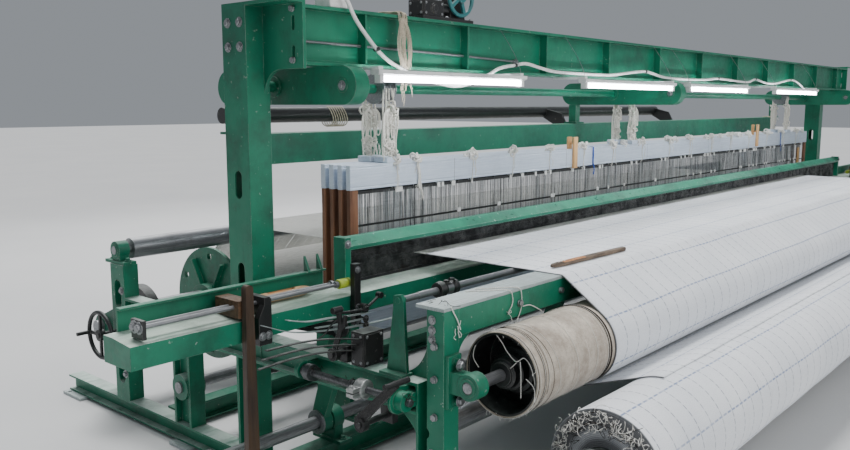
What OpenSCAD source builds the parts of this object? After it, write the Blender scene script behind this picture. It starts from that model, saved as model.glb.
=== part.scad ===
// Wide shuttle power loom with a breast beam and two rolls in front, a swinging sley, four hanging
// heald frames, a welded top girder, and a whip roll and warp beam behind.
// X runs along the loom, -Y is the weaver's side, +Z is up and the floor is at Z = 0.

/* [Frame] */
// Gap from the end of the take-up roll to each side frame
roll_gap = 122; // [100:1:150]
// Width of a side frame post along the loom
post_w = 84; // [70:1:100]
// Depth of the front post
post_d = 131; // [110:1:150]
// Front face of the front posts
front_y = -1038; // [-1060:1:-1020]
// Half of the depth over the foot plates
foot_y = 1800; // [1780:1:1850]
// Thickness of a foot plate
foot_t = 15; // [10:1:20]
// Radius of the floor bolt holes
foot_hole_r = 11; // [8:0.5:14]
// Height of the sill beam on the floor
sill_h = 90; // [70:1:110]
// Top of the side rail
rail_z = 665; // [640:1:690]
// Height of the side rail
rail_h = 120; // [100:1:140]
// Height of the three cross rails
tie_h = 100; // [80:1:120]
// Wall of the rolled sections
section_t = 10; // [8:0.5:14]

/* [Breast beam] */
// Top of the worn cap, where the cloth lies
cap_z = 960; // [940:1:980]
// Thickness of the cap plate
cap_t = 12; // [8:1:16]
// Height of the beam below the cap
breast_h = 100; // [80:1:108]

/* [Take-up and cloth] */
// Height of the take-up roll's axis
takeup_z = 695; // [690:1:700]
// Distance of the take-up roll's axis from the floor origin, towards the weaver
takeup_y = -1135; // [-1145:1:-1130]
// Radius of the take-up roll over its canvas
takeup_r = 160; // [150:1:165]
// Wall of the take-up tube
takeup_wall = 14; // [8:1:24]
// How far the take-up roll reaches past each end of the reed
takeup_over = 130; // [100:1:160]
// Radius of the roll shafts
roll_shaft_r = 22; // [18:0.5:26]
// Radius of the cloth guide roller
guide_r = 45; // [38:1:50]
// Radius of the wound cloth
cloth_roll_r = 220; // [190:1:235]
// Height of the cloth roll's axis
cloth_roll_z = 400; // [385:1:410]
// Reed left empty beyond the left edge of the cloth
empty_left = 426; // [300:1:600]
// Reed left empty beyond the right edge of the cloth
empty_right = 1200; // [1000:1:1400]
// Thickness of the cloth
cloth_t = 3; // [2:0.5:4]
// Place of the last woven pick
fell_y = -295; // [-300:1:-290]

/* [Sley] */
// How far the race beam stands out past each side frame
race_over = 794; // [750:1:900]
// Front face of the race beam
race_y = -355; // [-365:1:-350]
// Depth of the race beam
race_d = 175; // [160:1:185]
// Underside of the race beam
race_z = 785; // [770:1:795]
// Height of the race beam
race_h = 95; // [85:1:105]
// Half length of the reed, from which the width of the loom follows
reed_half = 3720; // [3500:1:4200]
// Height of the reed
reed_h = 155; // [140:1:170]
// Thickness of the reed
reed_t = 8; // [6:1:10]
// Gaps in the reed
reed_gaps = 120; // [100:1:120]
// Height of the rocking shaft's axis
rock_z = 220; // [210:1:240]
// Place of the rocking shaft's axis, front to back
rock_y = -65; // [-75:1:-55]
// Radius of the rocking shaft
rock_r = 30; // [24:1:36]
// Distance from each end of the reed to the middle of the outer sword
sword_over = 50; // [44:1:60]
// Thickness of a sword
sword_t = 36; // [28:1:40]

/* [Heald frames] */
// Centre of the heald frames along the loom
heald_x = 77; // [60:1:90]
// How much shorter a heald frame is than the reed, on each side of its middle
heald_short = 197; // [180:1:240]
// Distance from one heald frame to the next
heald_pitch = 60; // [56:1:64]
// Centre of the first heald frame
heald_y = 70; // [66:1:76]
// Thickness of a heald rail
heald_t = 30; // [24:1:34]
// Underside of the upper heald rail
heald_top_z = 1250; // [1230:1:1270]
// Top of the lower heald rail
heald_low_z = 640; // [620:1:660]
// Height of a heald rail
heald_rail_h = 120; // [100:1:130]

/* [Top works] */
// Underside of the girder and top of the arms
girder_z = 1820; // [1800:1:1840]
// Height of the girder
girder_h = 240; // [220:1:260]
// Distance from each end of the girder to the outer face of the side frame
girder_set = 106; // [96:1:120]
// Middle plane of the girder
girder_y = -165; // [-170:1:-160]
// Width of the girder's flanges
girder_w = 120; // [100:1:140]
// Thickness of the girder's flanges
flange_t = 14; // [10:1:18]
// Height of an arm cover
arm_h = 160; // [150:1:170]
// Thickness of an arm cover
arm_t = 78; // [70:1:86]
// Front end of the arms
arm_y0 = -365; // [-375:1:-350]
// Rear end of the arms
arm_y1 = 585; // [570:1:610]
// Radius of the top roller shaft
top_shaft_r = 24; // [20:1:28]
// Underside of the rear top beam
back_beam_z = 1370; // [1350:1:1390]
// Height of the rear top beam
back_beam_h = 150; // [130:1:160]
// Radius of the lamp tubes
lamp_r = 14; // [12:1:16]

/* [Warp and drive] */
// Radius of the whip roll
whip_r = 55; // [48:1:62]
// Place of the whip roll, front to back
whip_y = 1215; // [1200:1:1225]
// Place of the warp beam, front to back
beam_y = 1380; // [1370:1:1395]
// Height of the warp beam's axis
beam_z = 470; // [460:1:480]
// Radius of the warp wound on the beam
beam_r = 250; // [200:1:270]
// Radius of the warp beam's flanges
beam_flange_r = 340; // [320:1:360]
// Place of the crankshaft, front to back
crank_y = 620; // [610:1:630]
// Height of the crankshaft
crank_z = 560; // [555:1:565]
// Radius of the crankshaft
crank_r = 32; // [28:1:36]
// Throw of the cranks
crank_throw = 75; // [68:1:78]
// Height of the cam shaft
cam_z = 300; // [295:1:305]
// Teeth of the crankshaft gear
crank_teeth = 26; // [20:1:30]
// Radius of the driven pulley
pulley_r = 260; // [240:1:280]
// Radius of the motor pulley
motor_pulley_r = 80; // [70:1:95]

/* [Hidden] */
slack = 0.3;
run_fit = 0.05;
green = [0.0, 0.42, 0.3];
worn = [0.62, 0.66, 0.62];
steel = [0.5, 0.52, 0.54];
black = [0.08, 0.08, 0.09];
bright = [0.68, 0.72, 0.78];
timber = [0.62, 0.45, 0.28];
white = [0.9, 0.9, 0.88];
canvas = [0.72, 0.66, 0.56];

takeup_half = reed_half + takeup_over;
inner_x = takeup_half + roll_gap;
frame_x = inner_x + post_w;
race_half = frame_x + race_over;
sword_x = reed_half + sword_over;
heald_half = reed_half - heald_short;
girder_half = frame_x - girder_set;
cloth_x0 = empty_left - reed_half;
cloth_x1 = reed_half - empty_right;
back_y = front_y + post_d;
guide_y = back_y - guide_r + 2;
guide_z = takeup_z - 205;
cloth_roll_y = -1500;
race_top = race_z + race_h;
reed_y = race_y + 137;
reed_pitch = 2 * reed_half / reed_gaps;
pair_y = [for (k = [0, 2]) heald_y + (k + 0.5) * heald_pitch];
top_y = (pair_y[0] + pair_y[1]) / 2;
sheave_r = (pair_y[1] - pair_y[0]) / 2;
top_z = girder_z - arm_h / 2;
heald_end = [heald_x - heald_half, heald_x + heald_half];
rope_x = [heald_end[0] + 316, -500, heald_end[1] - 620];
arm_x = [-sword_x, -650, sword_x];
column_y = 30;
column_d = 160;
column_w = 120;
beam_back_y = 430;
let_off_y = beam_y - 170;
let_off_shaft_r = 15;
cam_teeth = 2 * crank_teeth;
gear_module = (crank_z - cam_z) / (crank_teeth + cam_teeth) * 2;
cloth_mid = cap_z + slack + cloth_t / 2;
warp_t = 2;
warp_clear = 1;
whip_axis_z = cloth_mid - warp_t / 2 - warp_clear - whip_r;
shed_lift = 55;
strip_w = 20;
dent_w = 28;
pin_r = 20;
pin_z = 700;
pin_share = (pin_z - rock_z) / (race_z - rock_z);
sword_top_y = -280;
pin_y = rock_y + (sword_top_y - rock_y) * pin_share;
crank_pin = [crank_y - 0.36 * crank_throw, crank_z + 0.93 * crank_throw];
rod_t = 32;
rod_x0 = sword_x + sword_t / 2 + 12;
cam_shaft_r = 28;
beam_shaft_r = 36;
rope_r = 8;
rope_y = [top_y - sheave_r - rope_r - slack, top_y + sheave_r + rope_r + slack];
yoke_h = 30;
lamp_z = girder_z - 50;
lamp_y = -365;
lamp_places = [[250, 1338], [1929, 3129], [3350, 4505], [5117, 6320]];
lamp_spans = [for (s = lamp_places) s - [girder_half, girder_half]];
winch_x = 1020 - girder_half;
box_mouth = reed_half + 130;
rods_end = box_mouth + 40;
spindle_y = [-330, -300];
spindle_r = 8;
spindle_z = 920;
stick_x = race_half - 460;
stick_pivot = [-stick_x, 330];
shuttle_x = 105 - stick_x;
stick_pin_r = 12;
side_shaft_x = frame_x + 44;
side_shaft_z = 605;
side_shaft_r = 14;
lever_pin = [-760, 510];
handle_pin = [-520, 705];
lever_pin_r = 12;
motor_y = 1150;
motor_z = 230;
pulley_x = frame_x + 94;
pulley_w = 60;
belt_t = 8;
wire_r = 9;
wire_route = [
  [-3760, -220, 2110], [-3758, -240, 2106], [-3745, -255, 2085], [-3710, -255, 2030], [-3660, -250, 1980],
  [-3570, -250, 1900], [-3490, -250, 1850], [-3390, -250, 1815], [-3280, -250, 1780], [-3140, -250, 1760],
  [-3030, -250, 1750], [-2910, -250, 1765], [-2760, -250, 1810], [-2660, -250, 1848], [-2520, -250, 1868],
  [-2420, -250, 1880], [-2280, -250, 1862], [-2120, -250, 1845], [-1850, -250, 1842], [-1550, -250, 1842],
  [-1400, -250, 1850], [-1180, -250, 1870], [-1010, -250, 1880], [-890, -250, 1868], [-660, -250, 1845],
  [-110, -250, 1845], [230, -250, 1862], [590, -250, 1852], [880, -250, 1848], [1040, -250, 1875],
  [1290, -250, 1850], [1550, -250, 1850], [1950, -250, 1890], [2140, -252, 1875], [2230, -260, 1845],
  [2280, -280, 1812], [2296, -310, 1795], [2296, -339, 1795]];

// Profiles in the Y-Z plane run along X, profiles in the X-Z plane run along Y.
module run_x(x0, x1) {
  translate([x0, 0, 0]) rotate([90, 0, 90]) linear_extrude(x1 - x0) children();
}

module run_y(y0, y1) {
  translate([0, y1, 0]) rotate([90, 0, 0]) linear_extrude(y1 - y0) children();
}

module box(x0, x1, y0, y1, z0, z1) {
  translate([x0, y0, z0]) cube([x1 - x0, y1 - y0, z1 - z0]);
}

module rod_x(x0, x1, y, z, r) {
  translate([x0, y, z]) rotate([0, 90, 0]) cylinder(h = x1 - x0, r = r, $fn = 64);
}

module rod_y(y0, y1, x, z, r) {
  translate([x, y0, z]) rotate([-90, 0, 0]) cylinder(h = y1 - y0, r = r, $fn = 48);
}

module rod_z(z0, z1, x, y, r) {
  translate([x, y, z0]) cylinder(h = z1 - z0, r = r, $fn = 48);
}

module both_sides() {
  children();
  mirror([1, 0, 0]) children();
}

module i_profile(w, h, t) {
  translate([-w / 2, 0]) square([w, t]);
  translate([-w / 2, h - t]) square([w, t]);
  translate([-t / 2, 0]) square([t, h]);
}

// Quarter fillet in the corner of two edges, hollow side up and right
module corner_web(r) {
  difference() {
    square(r);
    translate([r, r]) circle(r = r, $fn = 64);
  }
}

module slot_outline(length, r) {
  translate([-length / 2 + r, -r]) square([length - 2 * r, 2 * r]);
  for (s = [-1, 1]) translate([s * (length / 2 - r), 0]) circle(r = r, $fn = 48);
}

// Points of an arc about a centre, and the ribbon of a path
function arc(c, r, a0, a1, n) = [for (i = [0:n]) c + r * [cos(a0 + (a1 - a0) * i / n), sin(a0 + (a1 - a0) * i / n)]];
function heading(p, i) = let (d = p[min(i + 1, len(p) - 1)] - p[max(i - 1, 0)]) d / norm(d);
function beside(p, w) = [for (i = [0:len(p) - 1]) let (d = heading(p, i)) p[i] + w * [-d[1], d[0]]];
function bearing_of(a, b) = atan2(b[1] - a[1], b[0] - a[0]);
function reversed(p) = [for (i = [len(p) - 1:-1:0]) p[i]];

module ribbon(p, w) {
  polygon(concat(beside(p, w / 2), reversed(beside(p, -w / 2))));
}

// Round pillow block on a flanged foot, its bore along X and its foot below
module pillow_block(bore_r, drop, width) {
  housing_r = bore_r + 25;
  difference() {
    union() {
      rotate([0, 90, 0]) cylinder(h = width, r = housing_r, center = true, $fn = 64);
      rotate([0, 90, 0]) cylinder(h = width + 8, r = housing_r - 14, center = true, $fn = 64);
      translate([-width / 2 + 4, -housing_r + 8, -drop]) cube([width - 8, 2 * housing_r - 16, drop]);
      translate([-width / 2 - 6, -95, -drop]) cube([width + 12, 190, 16]);
      for (s = [-1, 1]) translate([0, s * 74, -drop]) cylinder(h = 22, r = 16, $fn = 48);
      for (s = [-1, 1]) translate([0, s * 74, -drop]) cylinder(h = 34, r = 12, $fn = 6);
    }
    rotate([0, 90, 0]) cylinder(h = width + 10, r = bore_r + run_fit, center = true, $fn = 64);
  }
}

module pulley(r, width, hub_r, bore_r, holes) {
  rotate([0, 90, 0]) difference() {
    union() {
      difference() {
        cylinder(h = width, r = r, $fn = 96);
        translate([0, 0, -1]) cylinder(h = width + 2, r = r - 14, $fn = 96);
      }
      translate([0, 0, width / 2 - 6]) cylinder(h = 12, r = r - 8, $fn = 96);
      cylinder(h = width, r = hub_r, $fn = 64);
    }
    for (k = [0:holes - 1]) rotate([0, 0, k * 360 / holes]) translate([(r + hub_r) / 2 - 7, 0, -1])
      cylinder(h = width + 2, r = (r - hub_r) / 3.4, $fn = 48);
    if (bore_r > 0) translate([0, 0, -1]) cylinder(h = width + 2, r = bore_r, $fn = 64);
  }
}

// Spur gear outline with straight flanks and a little backlash
module gear_outline(teeth, m, phase) {
  pitch_r = m * teeth / 2;
  root = pitch_r - 1.15 * m;
  tip = pitch_r + 0.85 * m;
  polygon([for (i = [0:teeth - 1], s = [[-0.3, 0], [-0.13, 1], [0.13, 1], [0.3, 0]])
    let (a = phase + (i + s[0]) * 360 / teeth, r = s[1] > 0 ? tip : root) r * [cos(a), sin(a)]]);
}

module side_frame() {
  post_front_d = 78;
  web_t = 20;
  rear_y0 = 1120;
  rear_d = 130;
  rail_mid = (inner_x + frame_x) / 2;
  sill_top = foot_t + sill_h;
  drive_y0 = crank_y - 70;
  color(green) difference() {
    union() {
      translate([rail_mid, 0, foot_t]) run_y(-foot_y, foot_y) i_profile(post_w, sill_h, section_t);
      box(inner_x, frame_x, front_y, front_y + post_front_d, sill_top, cap_z - cap_t);
      box(inner_x, inner_x + web_t, front_y + post_front_d, back_y, sill_top, cap_z - cap_t);
      box(inner_x, frame_x, back_y - section_t, back_y, sill_top, rail_z);
      translate([rail_mid, 0, rail_z - rail_h]) run_y(back_y, rear_y0) i_profile(post_w, rail_h, section_t + 2);
      run_x(inner_x, inner_x + web_t) translate([back_y, rail_z]) corner_web(150);
      run_x(rail_mid - section_t, rail_mid + section_t) translate([back_y, rail_z - rail_h])
        mirror([0, 1]) corner_web(180);
      for (y = [column_y, drive_y0]) translate([rail_mid, y, 0]) for (s = [0, 1])
        box(-post_w / 2, post_w / 2, s * 124, s * 124 + 16, sill_top, rail_z - rail_h);
      for (y = [column_y, drive_y0]) translate([rail_mid, y, 0]) box(-10, 10, 0, 140, sill_top, rail_z - 12);
      box(inner_x, frame_x, rear_y0, rear_y0 + rear_d, sill_top, whip_axis_z - 70);
      run_x(inner_x + 12, frame_x - 12) polygon([
        [rear_y0 + rear_d, beam_z - 190], [beam_y, beam_z - 62], [beam_y + 62, beam_z],
        [beam_y, beam_z + 62], [rear_y0 + rear_d, beam_z + 120]]);
      rod_x(inner_x, frame_x, beam_y, beam_z, 66);
      for (z = [crank_z, cam_z]) rod_x(inner_x - 10, frame_x + 10, crank_y, z, 64);
    }
    rod_x(inner_x - 20, frame_x + 20, beam_y, beam_z, beam_shaft_r + run_fit);
    rod_x(inner_x - 20, frame_x + 20, crank_y, crank_z, crank_r + run_fit);
    rod_x(inner_x - 20, frame_x + 20, crank_y, cam_z, cam_shaft_r + run_fit);
    rod_x(inner_x - 1, frame_x + 1, guide_y, guide_z, roll_shaft_r + run_fit);
    rod_x(inner_x - 1, frame_x + 1, let_off_y, beam_z, let_off_shaft_r + run_fit);
    for (z = [270, 680]) translate([0, rear_y0 + rear_d / 2, z]) rotate([0, 90, 0])
      linear_extrude(2 * frame_x) slot_outline(150, 32);
  }
}

module side_frame_left() {
  mirror([1, 0, 0]) side_frame();
}

module side_frame_right() {
  side_frame();
}

module foot_plates() {
  pad_over = 40;
  pad_d = 200;
  color(steel) both_sides() {
    difference() {
      union() for (s = [-1, 1])
        box(inner_x - pad_over, frame_x + pad_over, s > 0 ? foot_y - pad_d : -foot_y,
          s > 0 ? foot_y : pad_d - foot_y, 0, foot_t);
      for (s = [-1, 1]) translate([frame_x + pad_over / 2, s * (foot_y - 40), -1])
        cylinder(h = foot_t + 2, r = foot_hole_r, $fn = 48);
    }
    for (y = [front_y, column_y, crank_y - 80])
      box(inner_x - pad_over, frame_x + pad_over, y, y + pad_d - 50, 0, foot_t);
  }
}

module cross_rails() {
  color(green) for (y = [front_y + 63, rock_y, crank_y + 225]) translate([0, y, foot_t])
    run_x(-inner_x, inner_x) i_profile(tie_h - 10, tie_h, section_t);
}

module breast_beam() {
  low = cap_z - cap_t - breast_h;
  gusset = 108;
  color(green) {
    difference() {
      box(-inner_x, inner_x, front_y, back_y, low, cap_z - cap_t);
      box(-inner_x - 1, inner_x + 1, front_y + section_t, back_y - section_t, low + section_t,
        cap_z - cap_t - section_t);
    }
    both_sides() run_y(front_y + 8, back_y - 8) translate([inner_x, low]) mirror([1, 0]) mirror([0, 1])
      corner_web(gusset);
  }
}

module breast_cap() {
  color(worn) box(-frame_x, frame_x, front_y, back_y, cap_z - cap_t, cap_z);
}

module take_up_roll() {
  end_set = 70;
  color(canvas) difference() {
    rod_x(-takeup_half, takeup_half, takeup_y, takeup_z, takeup_r);
    rod_x(-takeup_half - 1, takeup_half + 1, takeup_y, takeup_z, takeup_r - takeup_wall);
  }
  color(black) both_sides() {
    rod_x(takeup_half - end_set - 24, takeup_half - end_set, takeup_y, takeup_z, takeup_r - takeup_wall);
    rod_x(takeup_half - end_set, takeup_half - end_set + 40, takeup_y, takeup_z, 70);
    rod_x(takeup_half - end_set + 40, takeup_half - 4, takeup_y, takeup_z, 46);
    rod_x(takeup_half - 4, frame_x - 8, takeup_y, takeup_z, roll_shaft_r);
  }
}

// Rows of pillow blocks: take-up roll, rocking shaft and whip roll
module pillow_blocks() {
  block_w = 60;
  color(green) {
    both_sides() translate([frame_x - block_w / 2 - 12, takeup_y, takeup_z]) rotate([90, 0, 0])
      pillow_block(roll_shaft_r, front_y - takeup_y, block_w);
    for (x = [-sword_x + 70, -sword_x / 2 + 90, 90, sword_x / 2 + 90, sword_x - 70])
      translate([x, rock_y, rock_z]) pillow_block(rock_r, rock_z - foot_t - tie_h, block_w);
    both_sides() translate([inner_x + post_w / 2, whip_y, whip_axis_z]) pillow_block(roll_shaft_r, 70, block_w);
  }
}

module guide_roller() {
  color(steel) {
    rod_x(-inner_x + 20, inner_x - 20, guide_y, guide_z, guide_r);
    rod_x(-inner_x - 18, inner_x + 18, guide_y, guide_z, roll_shaft_r);
  }
}

module cloth_roll() {
  wound = [110 - takeup_half, cloth_x1 + 440];
  color(white) rod_x(wound[0], wound[1], cloth_roll_y, cloth_roll_z, cloth_roll_r);
  color(black) both_sides() {
    rod_x(wound[1] - 20, takeup_half, cloth_roll_y, cloth_roll_z, 84);
    rod_x(takeup_half, takeup_half + 60, cloth_roll_y, cloth_roll_z, 50);
    rod_x(takeup_half + 60, frame_x - 8, cloth_roll_y, cloth_roll_z, roll_shaft_r);
  }
}

module cloth_roll_stands() {
  stand_t = 60;
  base = foot_t + sill_h;
  color(green) both_sides() difference() {
    union() {
      run_x(inner_x + 16, inner_x + 16 + 18) polygon([
        [cloth_roll_y - 130, base], [cloth_roll_y + 170, base], [cloth_roll_y + 60, cloth_roll_z],
        [cloth_roll_y, cloth_roll_z + 60], [cloth_roll_y - 60, cloth_roll_z]]);
      box(inner_x, inner_x + stand_t + 16, cloth_roll_y - 130, cloth_roll_y + 170, base, base + 14);
      box(inner_x + 6, inner_x + stand_t, cloth_roll_y - 9, cloth_roll_y + 9, base + 14, cloth_roll_z - 20);
      rod_x(inner_x, inner_x + stand_t, cloth_roll_y, cloth_roll_z, 58);
    }
    rod_x(inner_x - 1, inner_x + stand_t + 1, cloth_roll_y, cloth_roll_z, roll_shaft_r + run_fit);
    translate([0, cloth_roll_y + 70, base + 90]) rotate([0, 90, 0]) cylinder(h = 2 * frame_x, r = 26, $fn = 48);
  }
}

// The web runs over the cap, round the front of the take-up roll, back round the guide roller and on to
// the top of the cloth roll; every bend touches its roll with a small clearance
module cloth() {
  c1 = [takeup_y, takeup_z];
  c2 = [guide_y, guide_z];
  c3 = [cloth_roll_y, cloth_roll_z];
  r1 = takeup_r + warp_clear + cloth_t / 2;
  r2 = guide_r + warp_clear + cloth_t / 2;
  r3 = cloth_roll_r + warp_clear + cloth_t / 2;
  edge = [front_y - 2, cloth_mid];
  on1 = bearing_of(c1, edge) + acos(r1 / norm(edge - c1));
  off1 = bearing_of(c1, c2) + 360 - acos((r1 + r2) / norm(c2 - c1));
  off2 = bearing_of(c2, c3) + acos((r2 + r3) / norm(c3 - c2));
  path = concat([[fell_y, cloth_mid], [back_y, cloth_mid], edge],
    arc(c1, r1, on1, off1, 24), arc(c2, r2, off1 - 180, off2 + (off2 > 0 ? -360 : 0), 20),
    arc(c3, r3, off2 + 180, off2 + 200, 4));
  color(white) run_x(cloth_x0, cloth_x1) ribbon(path, cloth_t);
}

module cloth_stick() {
  stick_l = 612;
  color(timber) translate([cloth_x0 + 83, -935, cap_z + cloth_t + 2 * slack + 9]) rotate([0, 0, -2.4]) {
    rotate([0, 90, 0]) cylinder(h = stick_l * 0.72, r = 9, $fn = 32);
    translate([stick_l * 0.72, 0, 0]) rotate([0, 90, 0]) cylinder(h = stick_l * 0.28, r1 = 9, r2 = 6, $fn = 32);
  }
}

module temple_bar() {
  bar_r = 14;
  bar_y = -790;
  bar_z = cap_z - bar_r;
  plate_t = 15;
  color(steel) rod_x(-inner_x + 60, inner_x - 60, bar_y, bar_z, bar_r);
  color(black) both_sides() rod_x(inner_x - 260, inner_x - 220, bar_y, bar_z, bar_r + 9);
  color(green) both_sides() {
    rod_x(inner_x - 60, inner_x + 54, bar_y, bar_z, bar_r - 2);
    run_x(inner_x + 34, inner_x + 34 + plate_t) polygon([
      [bar_y - 40, rail_z + 10], [bar_y + 60, rail_z + 10], [bar_y + 26, bar_z - 30], [bar_y + 24, bar_z + 16],
      [bar_y - 12, bar_z + 24], [bar_y - 24, bar_z]]);
    box(inner_x + 22, frame_x, bar_y - 48, bar_y + 68, rail_z, rail_z + 10);
  }
}

module race_beam() {
  race_wall = 10;
  color(green) difference() {
    run_x(-race_half, race_half) polygon([
      [race_y, race_z], [race_y + race_d, race_z], [race_y + race_d, race_top], [race_y + 115, race_top],
      [race_y, race_top - 12]]);
    translate([0, 0, -1]) box(-race_half + race_wall, race_half - race_wall, race_y + race_wall,
      race_y + race_d - race_wall, race_z, race_top - 12 - race_wall);
  }
}

module reed() {
  rib_h = 15;
  color(steel) {
    for (z = [race_top, race_top + reed_h - rib_h]) box(-reed_half, reed_half, reed_y, reed_y + reed_t, z, z + rib_h);
    for (k = [0:reed_gaps]) translate([-reed_half + k * reed_pitch, 0, 0])
      box(k == 0 ? 0 : -dent_w / 2, k == reed_gaps ? 0 : dent_w / 2, reed_y, reed_y + reed_t, race_top + rib_h,
        race_top + reed_h - rib_h);
  }
}

module reed_cap() {
  z0 = race_top + reed_h;
  block = 35;
  color(green) {
    run_x(-reed_half - 20, reed_half + 20) polygon([
      [reed_y - 32, z0], [reed_y + 40, z0], [reed_y + 40, z0 + 50], [reed_y + 14, z0 + 50], [reed_y - 32, z0 + 16]]);
    both_sides() difference() {
      box(reed_half + 20, reed_half + 20 + block, reed_y - 32, reed_y + 40, race_top, z0 + 56);
      rod_y(reed_y - 40, reed_y - 20, reed_half + 20 + block / 2, z0 + 30, 11);
    }
  }
}

// One sword: a tapered arm with a slot, a hub round the rocking shaft and a flange under the race beam
module sword(x) {
  lean = [sword_top_y, race_z - 14];
  translate([x, 0, 0]) difference() {
    union() {
      run_x(-sword_t / 2, sword_t / 2) polygon([
        [rock_y - 42, rock_z + 20], [lean[0] - 40, lean[1]], [lean[0] + 85, lean[1]], [rock_y + 42, rock_z + 20]]);
      rod_x(-sword_t / 2 - 10, sword_t / 2 + 10, rock_y, rock_z, rock_r + 26);
      box(-sword_t / 2 - 22, sword_t / 2 + 22, race_y + 12, race_y + race_d, race_z - 14, race_z);
    }
    rod_x(-sword_t, sword_t, rock_y, rock_z, rock_r);
    translate([0, pin_y + 32, pin_z - 170]) rotate([24, 0, 0]) rotate([0, 90, 0])
      translate([0, 0, -sword_t]) linear_extrude(2 * sword_t) slot_outline(150, 20);
  }
}

module swords() {
  color(green) for (x = [-sword_x, -sword_x / 2, 0, sword_x / 2, sword_x]) sword(x);
  color(steel) both_sides() {
    rod_x(sword_x + sword_t / 2, rod_x0 + rod_t, pin_y, pin_z, pin_r);
    rod_x(sword_x + sword_t / 2, rod_x0, pin_y, pin_z, pin_r + 14);
  }
}

// The rocking shaft carries, past each side frame, the shoe on which the picking stick turns
module rocking_shaft() {
  shoe_y = race_y - 7;
  shoe_w = 60;
  outer_x = stick_x;
  color(steel) rod_x(-outer_x - 40, outer_x + 40, rock_y, rock_z, rock_r);
  color(black) both_sides() difference() {
    union() {
      rod_x(outer_x - shoe_w / 2, outer_x + shoe_w / 2, rock_y, rock_z, rock_r + 24);
      run_x(outer_x - 15, outer_x + 15) polygon([
        [rock_y, rock_z + 48], [shoe_y + 20, stick_pivot[1] + 34], [shoe_y, stick_pivot[1] + 34],
        [shoe_y, stick_pivot[1] - 34], [shoe_y + 30, stick_pivot[1] - 40], [rock_y, rock_z - 48]]);
      box(outer_x - 34, outer_x + 34, shoe_y, shoe_y + 20, stick_pivot[1] - 34, stick_pivot[1] + 34);
      rod_y(shoe_y - 34, shoe_y, outer_x, stick_pivot[1], stick_pin_r);
    }
    rod_x(outer_x - shoe_w, outer_x + shoe_w, rock_y, rock_z, rock_r);
  }
}

// Left shuttle box: back fence, spindle rods in their brackets, guide post and mouth bracket
module shuttle_box() {
  fence_y = race_y + race_d - 8;
  out_x = -race_half + 50;
  mouth_x = -box_mouth;
  plate = [[fence_y - 22, race_top + 86], [fence_y + 8, race_top + 86], [fence_y + 8, race_top + 150]];
  color(green) {
    box(out_x, mouth_x, fence_y, fence_y + 8, race_top, race_top + 78);
    box(out_x, mouth_x, fence_y - 22, fence_y + 8, race_top + 78, race_top + 86);
    for (x = [mouth_x - 100, mouth_x - 30]) run_x(x, x + 12) polygon(plate);
  }
  color(black) {
    for (y = spindle_y) rod_x(out_x + 15, -rods_end, y, spindle_z, spindle_r);
    difference() {
      union() {
        box(out_x, out_x + 15, spindle_y[0] - 20, spindle_y[1] + 22, race_top, spindle_z + 26);
        run_y(race_y - 28, race_y) polygon([
          [shuttle_x - 60, race_z - 20], [shuttle_x, race_z - 20], [shuttle_x, spindle_z + 18],
          [shuttle_x - 15, spindle_z + 28], [shuttle_x - 60, spindle_z - 50]]);
        box(shuttle_x - 33, shuttle_x - 5, race_y - 28, spindle_y[1] + 20, race_top, spindle_z + 26);
      }
      for (y = spindle_y) rod_x(shuttle_x - 60, shuttle_x + 5, y, spindle_z, spindle_r);
    }
    box(mouth_x, mouth_x + 35, race_y - 30, race_y, race_z + 10, race_z + 60);
    box(mouth_x, mouth_x + 35, race_y - 30, race_y - 4, race_z - 40, race_top + 125);
  }
}

module shuttle_box_left() {
  shuttle_box();
}

module shuttle_box_right() {
  mirror([1, 0, 0]) shuttle_box();
}

module shuttle() {
  shuttle_l = 320;
  shuttle_r = 21;
  tip = 70;
  mid = race_y + 115;
  color(timber) translate([shuttle_x, mid, race_top + shuttle_r + slack]) rotate([0, 90, 0]) difference() {
    rotate_extrude($fn = 48) polygon(concat([[0, 0], [2, 0]],
      [for (i = [1:8]) [2 + (shuttle_r - 2) * sin(i * 90 / 8), tip * (1 - cos(i * 90 / 8))]],
      [for (i = [8:-1:1]) [2 + (shuttle_r - 2) * sin(i * 90 / 8), shuttle_l - tip * (1 - cos(i * 90 / 8))]],
      [[2, shuttle_l], [0, shuttle_l]]));
    translate([-shuttle_r - 1, -11, tip + 20]) cube([shuttle_r + 8, 22, shuttle_l - 2 * tip - 40]);
  }
}

module buffers() {
  color([0.55, 0.72, 0.1]) both_sides() difference() {
    box(box_mouth - 20, rods_end, spindle_y[0] - 20, spindle_y[1] + 20, race_top, spindle_z + 24);
    rod_y(spindle_y[0] - 24, spindle_y[1] + 24, box_mouth + 10, race_top + 12, 6);
  }
}

module picker() {
  block = [stick_pivot[0] - 30, stick_pivot[0] + 30];
  nose_x = shuttle_x - 2;
  color(timber) difference() {
    union() {
      box(block[0], block[1], race_y - 5, race_y + 137, race_top + slack, spindle_z + 26);
      box(block[1], nose_x, race_y + 98, race_y + 132, race_top + 4, race_top + 40);
      box(block[0] + 12, block[1] - 12, race_y - 6.5, race_y - 5, race_top + 12, spindle_z + 10);
    }
    for (y = spindle_y) rod_x(block[0] - 1, block[1] + 1, y, spindle_z, spindle_r + run_fit);
  }
}

module picker_left() {
  picker();
}

module picker_right() {
  mirror([1, 0, 0]) picker();
}

module picking_stick() {
  stick_y0 = race_y - 36;
  stick_t = 27;
  color(timber) difference() {
    translate([stick_pivot[0], 0, stick_pivot[1]]) run_y(stick_y0, stick_y0 + stick_t) {
      circle(r = 30, $fn = 48);
      polygon([[-26, 0], [26, 0], [17, 660], [-17, 660]]);
      translate([0, 660]) circle(r = 17, $fn = 48);
    }
    rod_y(stick_y0 - 1, stick_y0 + stick_t + 1, stick_pivot[0], stick_pivot[1], stick_pin_r + run_fit);
  }
}

module picking_stick_left() {
  picking_stick();
}

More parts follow.
